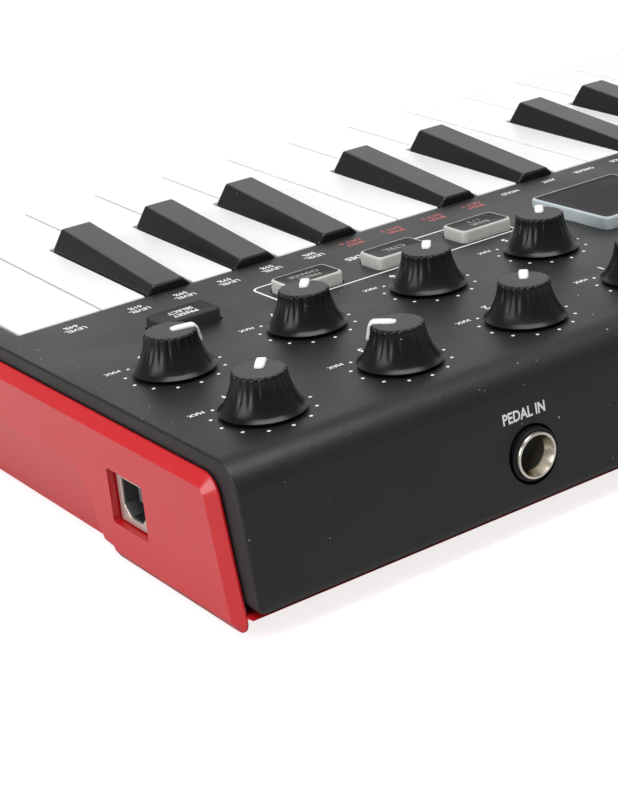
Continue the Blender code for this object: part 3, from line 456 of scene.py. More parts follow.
def lathe(profile: Sequence[Pair], sides: int, centre: Vector, materials: Sequence[int] = ()) -> Mesh:
    """A closed solid turned about a vertical axis.

    Args:
        profile: (radius, height) pairs, where a first or last radius of 0 closes on the axis.
        sides: Segments around the axis.
        centre: A point on the axis, at height 0 of the profile.
        materials: The material index of each band of the profile.

    Returns:
        The turned solid, its faces outwards.
    """
    rings = [
        [centre + Vector((max(r, 1e-7) * c, max(r, 1e-7) * s, z)) for c, s in circle(1.0, sides)]
        for r, z in profile
    ]
    return loft(rings, materials)


def block(low: Vector, high: Vector) -> Mesh:
    """A box between two corners."""
    outline = [(low.x, low.y), (high.x, low.y), (high.x, high.y), (low.x, high.y)]
    return slab(outline, low.z, high.z, "Z")


def rod(start: Vector, end: Vector, radius: float, sides: int = 24) -> Mesh:
    """A round bar between two points."""
    along = end - start
    turn = along.to_track_quat("Z", "Y").to_matrix()
    rings = [[place + turn @ Vector((x, y, 0)) for x, y in circle(radius, sides)] for place in (start, end)]
    return loft(rings)


def mirrored(bm: Mesh, side: int) -> Mesh:
    """A mesh made for the right side, turned into its mirror image where side is -1."""
    if side < 0:
        bmesh.ops.scale(bm, vec=(-1, 1, 1), verts=bm.verts)
    bmesh.ops.recalc_face_normals(bm, faces=bm.faces)
    return bm


def joined(*parts: Mesh) -> Mesh:
    """Several meshes as one, each keeping its material indices."""
    whole = bmesh.new()
    for part in parts:
        mesh = bpy.data.meshes.new("joining")
        part.to_mesh(mesh)
        part.free()
        whole.from_mesh(mesh)
        bpy.data.meshes.remove(mesh)
    return whole


def piece(name: str, bm: Mesh, finishes: Sequence[Finish], sharp: float = 32.0) -> Object:
    """A mesh object at the origin, with its finishes, smooth but for edges over an angle.

    Args:
        name: The object's name.
        bm: Its mesh, which is freed.
        finishes: Its materials in the order of the mesh's material indices.
        sharp: The angle in degrees over which an edge stays sharp.

    Returns:
        The object.
    """
    mesh = bpy.data.meshes.new(name)
    bm.to_mesh(mesh)
    bm.free()
    for finish in finishes:
        mesh.materials.append(finish.material())
    mesh.shade_smooth()
    mesh.set_sharp_from_angle(angle=math.radians(sharp))
    obj = bpy.data.objects.new(name, mesh)
    bpy.context.scene.collection.objects.link(obj)
    return obj


def baked(obj: Object) -> Object:
    """Turns an object's evaluated shape into its plain mesh and removes its modifiers."""
    bpy.context.view_layer.update()
    graph = bpy.context.evaluated_depsgraph_get()
    mesh = bpy.data.meshes.new_from_object(obj.evaluated_get(graph), preserve_all_data_layers=True, depsgraph=graph)
    obj.modifiers.clear()
    obj.data = mesh
    mesh.name = obj.name
    return obj


def carve(obj: Object, tool: Mesh, operation: str = "DIFFERENCE") -> Object:
    """Cuts an object with a tool, or joins the tool to it.

    Args:
        obj: The object that changes.
        tool: The tool's mesh, which is freed.
        operation: The Boolean operation.

    Returns:
        The changed object.
    """
    cutter = piece("carving_tool", tool, ())
    modifier = obj.modifiers.new("carve", "BOOLEAN")
    modifier.operation = operation
    modifier.solver = "EXACT"
    modifier.use_self = True
    modifier.object = cutter
    baked(obj)
    bpy.data.objects.remove(cutter, do_unlink=True)
    return obj


def softened(
    obj: Object, width: float, segments: int = 2, angle: float = 30.0, cuts: Sequence[float] = ()
) -> Object:
    """Rounds an object's sharp edges.

    Args:
        obj: The object that changes.
        width: How far from the edge the rounding starts.
        segments: Segments in the rounding.
        angle: The angle in degrees over which an edge is rounded.
        cuts: Places in Y where large flat faces are split, so that each stays a simple outline.

    Returns:
        The changed object.
    """
    bm = bmesh.new()
    bm.from_mesh(obj.data)
    bmesh.ops.remove_doubles(bm, verts=bm.verts, dist=MERGE)
    bmesh.ops.dissolve_limit(bm, angle_limit=FLAT, verts=bm.verts, edges=bm.edges)
    for y in cuts:
        everything = [*bm.verts, *bm.edges, *bm.faces]
        bmesh.ops.bisect_plane(bm, geom=everything, dist=1e-7, plane_co=(0, y, 0), plane_no=(0, 1, 0))
    bm.to_mesh(obj.data)
    bm.free()
    obj.data.shade_smooth()
    bevel = obj.modifiers.new("soften", "BEVEL")
    bevel.width = width
    bevel.segments = segments
    bevel.limit_method = "ANGLE"
    bevel.angle_limit = math.radians(angle)
    bevel.harden_normals = True
    bevel.use_clamp_overlap = True
    split = obj.modifiers.new("split", "TRIANGULATE")
    split.min_vertices = 5
    split.keep_custom_normals = True
    return baked(obj)


def settle(obj: Object, body: str, slot: str, *stands_for: str) -> Object:
    """Mounts a finished piece on a body of the frame and reports it.

    Args:
        obj: The finished piece.
        body: The body that it moves with.
        slot: The record's material slot; not used.
        stands_for: Nodes that it is shown in place of.

    Returns:
        The piece.
    """
    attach(obj, body)
    if stands_for:
        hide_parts(*stands_for)
    LOG.info("%s: %d faces on %s", obj.name, len(obj.data.polygons), body)
    return obj


def joint_of(body: str) -> dict:
    """The joint that carries a body."""
    return next(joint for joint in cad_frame()["joints"] if joint["child"] == body)


def middle(node: str) -> Vector:
    """The middle of a node's box in plan, on the control panel."""
    low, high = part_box(node)
    return Vector(((low.x + high.x) / 2, (low.y + high.y) / 2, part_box("top_case")[1].z))


# ------------------------------------------------------------------ repeats
class Pattern:
    """A Geometry Nodes tree under construction, with named inputs for its sizes."""

    def __init__(self, name: str) -> None:
        """Starts an empty tree with its geometry input and output.

        Args:
            name: The tree's name.
        """
        self.tree = bpy.data.node_groups.new(name, "GeometryNodeTree")
        self.tree.interface.new_socket(name="Geometry", in_out="INPUT", socket_type="NodeSocketGeometry")
        self.tree.interface.new_socket(name="Geometry", in_out="OUTPUT", socket_type="NodeSocketGeometry")
        self.source = self.tree.nodes.new("NodeGroupInput")
        self.values: dict[str, object] = {}
        self.seats = self.source.outputs["Geometry"]

    def size(self, label: str, value: float | int) -> Socket:
        """Adds a named input for a size or a count and gives its socket."""
        kind = "NodeSocketInt" if isinstance(value, int) else "NodeSocketFloat"
        socket = self.tree.interface.new_socket(name=label, in_out="INPUT", socket_type=kind)
        self.values[socket.identifier] = value
        return self.source.outputs[label]

    def node(self, kind: str, **inputs: object) -> bpy.types.Node:
        """Adds a node to the tree and feeds its inputs, as add_node does."""
        return add_node(self.tree, kind, **inputs)

    def scatter(self, seats: Socket, item: Socket) -> Socket:
        """Places one copy of an item on each seat, as real geometry."""
        placed = self.node("GeometryNodeInstanceOnPoints", Points=seats, Instance=item)
        return self.node("GeometryNodeRealizeInstances", Geometry=placed.outputs[0]).outputs[0]

    def bake(
        self, name: str, seats: Sequence[Vector], shape: Socket, finish: Finish
    ) -> Object:
        """Runs the tree on a set of seats.

        Args:
            name: The name of the piece.
            seats: The points that the items stand on.
            shape: The socket that gives the finished geometry.
            finish: The material of all the items.

        Returns:
            The piece as a plain mesh, with no modifier left.
        """
        dressed = self.node("GeometryNodeSetMaterial", Geometry=shape, Material=finish.material())
        out = self.tree.nodes.new("NodeGroupOutput")
        self.tree.links.new(dressed.outputs[0], out.inputs["Geometry"])
        mesh = bpy.data.meshes.new(name)
        mesh.from_pydata([tuple(seat) for seat in seats], [], [])
        obj = bpy.data.objects.new(name, mesh)
        bpy.context.scene.collection.objects.link(obj)
        modifier = obj.modifiers.new("pattern", "NODES")
        modifier.node_group = self.tree
        for identifier, value in self.values.items():
            modifier[identifier] = value
        baked(obj)
        obj.data.shade_smooth()
        obj.data.set_sharp_from_angle(angle=math.radians(32))
        return obj


# ------------------------------------------------------------------ lettering
class Face(Enum):
    """The faces that carry print, each with its writing direction and its up direction."""

    PANEL = ((1.0, 0.0, 0.0), (0.0, 1.0, 0.0))
    REAR_WALL = ((-1.0, 0.0, 0.0), (0.0, -0.1219, 0.9925))


@dataclass(frozen=True)
class Legend:
    """A line of print, centred on a point."""

    words: str
    place: tuple[float, float, float]
    height: float
    face: Face = Face.PANEL
    narrow: float = 0.9
    weight: float = 0.03

    def mesh(self) -> Mesh:
        """The print as a thin raised mesh in its place."""
        curve = bpy.data.curves.new("lettering", "FONT")
        curve.body = self.words
        curve.size = self.height / 0.72
        curve.align_x = "CENTER"
        curve.align_y = "CENTER"
        curve.extrude = 0.008 * MM
        curve.offset = self.weight * self.height
        curve.resolution_u = 3
        text = bpy.data.objects.new("lettering", curve)
        bpy.context.scene.collection.objects.link(text)
        bpy.context.view_layer.update()
        graph = bpy.context.evaluated_depsgraph_get()
        mesh = bpy.data.meshes.new_from_object(text.evaluated_get(graph))
        bpy.data.objects.remove(text, do_unlink=True)
        right, up = (Vector(direction) for direction in self.face.value)
        out = right.cross(up)
        place = Vector(self.place) + out * 0.012 * MM
        turn = Matrix((right * self.narrow, up, out)).transposed().to_4x4()
        bm = bmesh.new()
        bm.from_mesh(mesh)
        bpy.data.meshes.remove(mesh)
        bmesh.ops.remove_doubles(bm, verts=bm.verts, dist=1e-7)
        bmesh.ops.transform(bm, matrix=Matrix.Translation(place) @ turn, verts=bm.verts)
        return bm


# ------------------------------------------------------------------ casings
@dataclass
class TopShell:
    """The black upper casing: panel, rear wall, end walls and the arms beside the keys."""

    panel_wall: float = 2.5 * MM
    wall: float = 2.0 * MM
    rear_wall: float = 2.2 * MM
    rear_radius: float = 6.9 * MM
    lean: float = math.radians(7.0)
    skirt: float = 22.0 * MM
    skirt_length: float = 32.0 * MM
    key_side_gap: float = 0.4 * MM
    pad_gap: float = 0.4 * MM
    pad_corner: float = 1.9 * MM
    button_gap: float = 0.35 * MM
    button_corner: float = 1.7 * MM
    shaft_hole: float = 3.4 * MM
    stick_clearance: float = 0.5 * MM
    jack_hole: float = 5.9 * MM
    end_radius: float = 1.2 * MM
    foot_radius: float = 2.6 * MM
    edge: float = 0.22 * MM
    low: Vector = field(default_factory=lambda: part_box("top_case")[0])
    high: Vector = field(default_factory=lambda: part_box("top_case")[1])

    def rear_at(self, height: float, inset: float = 0.0) -> float:
        """The rear wall's outer face, or a face inset from it, at a height."""
        return self.high.y - inset / math.cos(self.lean) - (height - self.low.z) * math.tan(self.lean)

    def build(self) -> Object:
        """Builds the casing and mounts it."""
        front, skirt_front = self.low.y, self.high.y - self.skirt_length
        half, panel = self.high.x, self.high.z
        outer = rounded(
            [
                (front, self.skirt, 0),
                (skirt_front, self.skirt, 0),
                (skirt_front, self.low.z, 0),
                (self.high.y, self.low.z, 0),
                (self.rear_at(panel), panel, self.rear_radius),
                (front, panel, 1.5 * MM),
            ],
            steps=14,
        )
        shell = piece("upper_shell", self._rounded_ends(slab(outer, -half, half, "X")), [PANEL_BLACK])
        under = panel - self.panel_wall
        inner = rounded(
            [
                (front + self.wall, -0.05, 0),
                (self.rear_at(-0.05, self.rear_wall), -0.05, 0),
                (self.rear_at(under, self.rear_wall), under, self.rear_radius - self.panel_wall),
                (front + self.wall, under, 0),
            ],
            steps=14,
        )
        carve(shell, slab(inner, -half + self.wall, half - self.wall, "X"))
        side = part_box("key_c3")[1].x + 0.25 * MM + self.key_side_gap
        edge = min(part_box("key_c1")[1].y, self._key_edge())
        carve(shell, block(Vector((-side, front - 0.05, -0.05)), Vector((side, edge, panel + 0.05))))
        carve(shell, self._holes(under - 1 * MM, panel + 1 * MM))
        softened(shell, self.edge)
        return settle(shell, "case", "black_shell", "top_case")

    def _rounded_ends(self, bm: Mesh) -> Mesh:
        """Rounds the end walls into the floor, and then into the panel and the rear wall."""
        half, rear, low = self.high.x, self.high.y - 12 * MM, self.low.z

        def corner(edge: bmesh.types.BMEdge) -> bool:
            """Whether an edge runs along the foot of an end wall."""
            return all(abs(abs(v.co.x) - half) < 1e-6 and v.co.z < low + 1e-6 for v in edge.verts)

        def rim(edge: bmesh.types.BMEdge) -> bool:
            """Whether an edge bounds an end wall where it meets the panel or the rear wall."""
            if any(abs(v.co.x) < half - 4 * MM or v.co.z < low + 1e-6 for v in edge.verts):
                return False
            behind = all(v.co.y > rear for v in edge.verts)
            above = all(v.co.z > self.high.z - 2 * MM for v in edge.verts)
            return (behind or above) and edge.calc_face_angle(0.0) > math.radians(35)

        for test, offset, segments in ((corner, self.foot_radius, 8), (rim, self.end_radius, 5)):
            chosen = [edge for edge in bm.edges if test(edge)]
            bmesh.ops.bevel(
                bm, geom=chosen, offset=offset, segments=segments, affect="EDGES", profile=0.5, clamp_overlap=True
            )
        bmesh.ops.recalc_face_normals(bm, faces=bm.faces)
        return bm

    def _key_edge(self) -> float:
        """The rear edge of the key opening: the keys' visible rear ends and their clearance."""
        return joint_of("key_c1")["pos_m"][1] - Keybed.hinge_behind

    def _holes(self, low: float, high: float) -> Mesh:
        """Every opening in the panel and the one in the rear wall, as one tool."""
        tools = []
        openings = [(name, (Pads.half, Pads.half), self.pad_gap, self.pad_corner) for name in Pads.names()]
        openings += [(name, Buttons.half, self.button_gap, self.button_corner) for name in Buttons.names()]
        for name, (half_x, half_y), gap, corner in openings:
            outline = rectangle(half_x + gap, half_y + gap, corner)
            tools.append(loft([level(outline, z, middle(name)[:2]) for z in (low, high)]))
        for name in Knobs.names():
            place = middle(name)
            tools.append(rod(Vector((*place[:2], low)), Vector((*place[:2], high)), self.shaft_hole, 32))
        ball = arc(ThumbStick.dome + self.stick_clearance, 0.0, math.pi, 24)
        tools.append(lathe(ball, 64, ThumbStick().pivot))
        jack = PedalJack().centre
        start = Vector((jack.x, jack.y - 12 * MM, jack.z))
        tools.append(rod(start, Vector((jack.x, jack.y + 0.05, jack.z)), self.jack_hole, 48))
        return joined(*tools)


@dataclass
class LowerShell:
    """The red lower casing: floor, front lip and the two side plates with their recesses."""

    wall: float = 2.2 * MM
    foot: float = 2.3 * MM
    side_gap: float = 0.3 * MM
    overlap: float = 0.2 * MM
    toe_radius: float = 5.0 * MM
    heel_radius: float = 2.8 * MM
    crown_radius: float = 4.5 * MM
    heel_set: float = 3.6 * MM
    crown_set: float = 9.0 * MM
    plate_low: float = 1.2 * MM
    step_set: float = 0.6 * MM
    rim: float = 0.4 * MM
    chamfer_out: float = 1.7 * MM
    chamfer_in: float = 2.4 * MM
    lip: float = 26.0 * MM
    heel: float = 17.2 * MM
    heel_rise: float = 2.9 * MM
    edge_top: float = 5.3 * MM
    tuck: float = 2.0 * MM
    recess_top: float = 18.0 * MM
    recess_rear: float = 28.5 * MM
    recess_front: float = -70.0 * MM
    recess_slant: float = 10.0 * MM
    recess_radius: float = 9.0 * MM
    recess_depths: Pair = (0.8 * MM, 3.0 * MM)
    block: float = 4.0 * MM
    usb_gap: Pair = (0.6 * MM, 0.3 * MM)
    edge: float = 0.3 * MM
    screw_depth: float = 1.3 * MM
    screw_hole: float = 3.4 * MM
    foot_radius: float = 6.0 * MM
    foot_places: tuple[Pair, ...] = ((0.139, -0.07185), (0.139, 0.06385), (-0.139, -0.07185), (-0.139, 0.06385))
    screw_places: tuple[Pair, ...] = (
        (-0.130, -0.060), (0.0, -0.060), (0.130, -0.060), (-0.146, 0.040), (0.010, 0.040), (0.120, 0.040),
    )
    low: Vector = field(default_factory=lambda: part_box("bottom_case")[0])
    high: Vector = field(default_factory=lambda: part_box("bottom_case")[1])

    def build(self) -> None:
        """Builds the casing, its feet and its screws, and mounts them."""
        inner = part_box("top_case")[1].x + self.side_gap
        reach = inner + self.overlap
        shell = piece("lower_shell", slab(self._section(), -reach, reach, "X"), [RED_GLOSS])
        for side in (1, -1):
            carve(shell, self._plate(inner, side), "UNION")
            near, far = sorted((side * (inner - self.block), side * reach))
            rear = self.recess_rear + self.recess_slant + 1 * MM
            low = Vector((near, self.low.y + 1 * MM, self.foot + 1 * MM))
            carve(shell, block(low, Vector((far, rear, self.recess_top + 1.5 * MM))), "UNION")
        for side in (1, -1):
            carve(shell, self._recess(side))
        carve(shell, self._usb_window(inner))
        for x, y in self.screw_places:
            top = Vector((x, y, self.foot + self.screw_depth))
            carve(shell, rod(Vector((x, y, -0.01)), top, self.screw_hole, 32))
        softened(shell, self.edge, angle=22)
        settle(shell, "case", "red_shell", "bottom_case")
        self._feet()
        self._screws()

    def _section(self) -> list[Pair]:
        """The floor and lip seen from the side."""
        front, rear = self.low.y, self.high.y
        heel = rear - self.heel
        return rounded(
            [
                (front, self.lip, 0),
                (front, self.foot, self.toe_radius),
                (heel, self.foot, 0),
                (rear - self.tuck, self.foot + self.heel_rise, 0),
                (rear - self.tuck, self.edge_top, 0),
                (rear - self.wall, self.edge_top, 0),
                (heel, self.foot + self.wall, 0),
                (front + self.wall, self.foot + self.wall, self.toe_radius - self.wall),
                (front + self.wall, self.lip, 0),
            ]
        )

    def _plate(self, inner: float, side: int) -> Mesh:
        """A side plate with its chamfer.

        Args:
            inner: Where the plate's inner face is.
            side: 1 for the right plate, -1 for the left one.

        Returns:
            The plate's mesh.
        """
        front, rear, top = self.low.y, self.high.y, self.high.z
        step_high, step_low = (
            self.recess_rear + self.recess_slant * (self.recess_top - z) / self.recess_top + self.step_set
            for z in (self.foot, self.plate_low)
        )
        corners = [
            (front, self.foot, self.toe_radius),
            (step_high, self.foot, 0),
            (step_low, self.plate_low, 0),
            (rear - self.heel_set, self.plate_low, self.heel_radius),
            (rear - self.crown_set, top, self.crown_radius),
            (front, top, self.crown_radius),
        ]
        bm = slab(rounded(corners, 12), inner, inner + self.rim, "X")
        outer = [face for face in bm.faces if face.normal.x > 0.9]
        bmesh.ops.inset_region(
            bm, faces=outer, thickness=self.chamfer_in, depth=self.chamfer_out, use_even_offset=True
        )
        return mirrored(bm, side)

    def _recess(self, side: int) -> Mesh:
        """The shallow wedge cut from a side plate, deeper towards the floor."""
        slant, reach = self.recess_slant, 10 * MM
        corners = [
            (self.recess_front - slant, -reach, 0),
            (self.recess_rear + slant * (1 + reach / self.recess_top), -reach, 0),
            (self.recess_rear, self.recess_top, self.recess_radius),
            (self.recess_front, self.recess_top, self.recess_radius),
        ]
        bm = slab(rounded(corners, 12), self.high.x, self.high.x + 10 * MM, "X")
        shallow, deep = self.recess_depths
        slope = (deep - shallow) / (self.recess_top - self.foot)
        for vert in bm.verts:
            if vert.co.x < self.high.x + 5 * MM:
                vert.co.x -= shallow + slope * (self.recess_top - vert.co.z)
        return mirrored(bm, side)

    def _usb_window(self, inner: float) -> Mesh:
        """The window in the right plate in front of the USB socket."""
        low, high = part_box("usb_socket")
        (gap_y, gap_z), middle_y, middle_z = self.usb_gap, (low.y + high.y) / 2, (low.z + high.z) / 2
        half_y, half_z = (high.y - low.y) / 2 + gap_y, (high.z - low.z) / 2 + gap_z
        outline = [(middle_y + y, middle_z + z) for y, z in rectangle(half_y, half_z, 0.6 * MM, 4)]
        return slab(outline, inner - 10 * MM, self.high.x + 10 * MM, "X")

    def _feet(self) -> None:
        """The four round rubber feet."""
        pads = []
        for x, y in self.foot_places:
            r, h = self.foot_radius, self.foot + 0.2 * MM
            profile = [(0, h), (r, h), (r, 0.5 * MM), (r - 0.15 * MM, 0.15 * MM), (r - 0.5 * MM, 0)]
            profile += [(r - 1.6 * MM, 0), (r - 1.9 * MM, 0.25 * MM), (0, 0.25 * MM)]
            pads.append(lathe(profile, 48, Vector((x, y, 0))))
        settle(piece("rubber_feet", joined(*pads), [FOOT_RUBBER]), "case", "dark_rubber")

    def _screws(self) -> None:
        """The recessed screws of the underside."""
        pattern = Pattern("underside_screws")
        head = pattern.node(
            "GeometryNodeMeshCone",
            Radius_Top=pattern.size("Head Radius", 2.9 * MM),
            Radius_Bottom=pattern.size("Rim Radius", 2.4 * MM),
            Depth=pattern.size("Head Height", 0.7 * MM),
            Vertices=pattern.size("Head Sides", 32),
        )
        slots = []
        length, width, depth = 3.0 * MM, 0.7 * MM, 0.9 * MM
        for labels, sizes in (
            (("Slot Length", "Slot Width"), (length, width)),
            (("Slot Width Across", "Slot Length Across"), (width, length)),
        ):
            box = pattern.node("ShaderNodeCombineXYZ", Z=depth)
            for axis, (label, value) in enumerate(zip(labels, sizes)):
                pattern.tree.links.new(pattern.size(label, value), box.inputs[axis])
            slots.append(pattern.node("GeometryNodeMeshCube", Size=box.outputs[0]))
        cut = pattern.node("GeometryNodeMeshBoolean")
        cut.operation = "DIFFERENCE"
        pattern.tree.links.new(head.outputs["Mesh"], cut.inputs[0])
        for slot in slots:
            pattern.tree.links.new(slot.outputs["Mesh"], cut.inputs[1])
        seats = [Vector((x, y, self.foot + 0.6 * MM)) for x, y in self.screw_places]
        screws = pattern.bake("underside_screws", seats, pattern.scatter(pattern.seats, cut.outputs[0]), SCREW_STEEL)
        settle(screws, "case", "socket_metal")


# ------------------------------------------------------------------ keys
@dataclass
class Keybed:
    """The fifteen white and ten black keys, each on its own body."""

    pitch: float = 20.1 * MM
    side_gap: float = 0.25 * MM
    black_half: float = 5.5 * MM
    black_top_half: float = 3.85 * MM
    black_gap: float = 0.6 * MM
    notch_gap: float = 1.0 * MM
    top_rear: float = 0.2 * MM
    top_front: float = 2.85 * MM
    thickness: float = 7.2 * MM
    apron: float = 14.0 * MM
    apron_wall: float = 3.0 * MM
    hinge_behind: float = 5.9 * MM
    end_gap: float = 0.4 * MM
    black_length: float = 43.8 * MM
    black_front_top: float = 7.0 * MM
    black_rear_top: float = 1.8 * MM
    black_slant: float = 2.7 * MM
    split: float = 1.5 * MM
    tail_halves: Pair = (4.0 * MM, 3.0 * MM)
    white_edge: float = 0.45 * MM
    black_edge: float = 0.55 * MM

    def __post_init__(self) -> None:
        """Reads the keys' places from the frame."""
        joints = [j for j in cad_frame()["joints"] if j["child"].startswith("key_")]
        self.centres = {j["child"]: j["pos_m"][0] for j in joints}
        self.hinge = Vector(joints[0]["pos_m"])
        self.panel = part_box("top_case")[1].z
        self.rear = self.hinge.y - self.hinge_behind - self.end_gap
        self.notch = self.rear - self.black_length - self.notch_gap
        self.under = self.panel + self.top_rear - self.thickness
        self.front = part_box("key_c1")[0].y
        self.blacks = {name: x for name, x in self.centres.items() if "sharp" in name}
        self.whites = {name: x for name, x in self.centres.items() if "sharp" not in name}

    def top_at(self, y: float) -> float:
        """Height of the white keys' top face, which rises towards the player."""
        share = (self.rear - y) / (self.rear - self.front)
        return self.panel + self.top_rear + share * (self.top_front - self.top_rear)

    def rear_centres(self) -> list[float]:
        """The middles of the keys' rear ends, from the highest note down."""
        whites = [self._outline(x)[1] for x in self.whites.values()]
        return sorted([*whites, *self.blacks.values()], reverse=True)

    def build(self) -> None:
        """Builds every key and mounts it."""
        for name, centre in self.whites.items():
            settle(self._white(name, centre), name, "white_gloss", name)
        for name, centre in self.blacks.items():
            settle(self._black(name, centre), name, "black_gloss", name)

    def _outline(self, centre: float) -> tuple[list[Corner], float]:
        """Plan of a white key in front of the panel, and the middle of its rear part."""
        left, right = centre - self.pitch / 2, centre + self.pitch / 2
        reach, notch = self.black_half + self.black_gap, self.notch
        near_left = [x for x in self.blacks.values() if abs(x - left) < self.pitch / 2]
        near_right = [x for x in self.blacks.values() if abs(x - right) < self.pitch / 2]
        x0, x1 = left + self.side_gap, right - self.side_gap
        back0 = near_left[0] + reach if near_left else x0
        back1 = near_right[0] - reach if near_right else x1
        soft, tight = 0.7 * MM, 0.4 * MM
        corners = [(x0, self.front, soft), (x1, self.front, soft)]
        if near_right:
            corners += [(x1, notch, tight), (back1, notch, soft)]
        corners += [(back1, self.rear, tight), (back0, self.rear, tight)]
        if near_left:
            corners += [(back0, notch, soft), (x0, notch, tight)]
        return corners, (back0 + back1) / 2

    def _white(self, name: str, centre: float) -> Object:
        """One white key with its apron and the tail that clips over the hinge rod."""
        corners, tail = self._outline(centre)
        low = self.under
        key = piece(f"{name}_white", slab(rounded(corners, 4), low - 9 * MM, self.panel + 20 * MM, "Z"), [WHITE_KEY])
        apron_low = self.top_at(self.front) - self.apron
        front = self.front - 5 * MM
        section = [
            (front, apron_low),
            (self.front + self.apron_wall, apron_low),
            (self.front + self.apron_wall, low),
            (self.rear + 5 * MM, low),
            (self.rear + 5 * MM, self.top_at(self.rear + 5 * MM)),
            (front, self.top_at(front)),
        ]
        carve(key, slab(section, -0.2, 0.2, "X"), "INTERSECT")
        softened(key, self.white_edge, 3, 40, cuts=(self.notch - self.split, self.notch + self.split))
        self._add_tail(key, tail, self.tail_halves[0])
        return key

    def _add_tail(self, key: Object, centre: float, half: float) -> None:
        """Joins a key's slotted tail to it.

        Args:
            key: The key.
            centre: Where the tail's middle is in X.
            half: Half the tail's width.
        """
        y, z = self.hinge.y, self.hinge.z
        foot, top, slot = z - 2.9 * MM, self.panel - 3.4 * MM, 1.7 * MM
        arch = [(y - slot * math.cos(a), z + slot * math.sin(a)) for a in (math.pi * i / 16 for i in range(17))]
        section = [(self.rear - 3 * MM, foot), (y - slot, foot), *arch, (y + slot, foot)]
        section += [(y + 3.7 * MM, foot), (y + 3.7 * MM, top), (self.rear - 3 * MM, top)]
        finish = BLACK_KEY if "sharp" in key.name else WHITE_KEY
        tail = piece(f"{key.name}_tail", slab(section, centre - half, centre + half, "X"), [finish])
        bm = bmesh.new()
        bm.from_mesh(key.data)
        bm.from_mesh(tail.data)
        bm.to_mesh(key.data)
        bm.free()
        bpy.data.objects.remove(tail, do_unlink=True)

    def _black(self, name: str, centre: float) -> Object:
        """One black key: a drafted block whose top falls towards the panel."""
        low, front, rear = self.under, self.rear - self.black_length, self.rear
        half, top_half = self.black_half, self.black_top_half
        levels = (
            (half, front, low, low),
            (half, front, self.top_at(front), self.top_at(rear)),
            (top_half, front + self.black_slant, self.panel + self.black_front_top, self.panel + self.black_rear_top),
        )
        rings = [
            [Vector((centre + side, y, z)) for side, y, z in ((-w, y0, z0), (w, y0, z0), (w, rear, z1), (-w, rear, z1))]
            for w, y0, z0, z1 in levels
        ]
        key = piece(f"{name}_black", loft(rings), [BLACK_KEY])
        softened(key, self.black_edge, 4, 12)
        self._add_tail(key, centre, self.tail_halves[1])
        return key


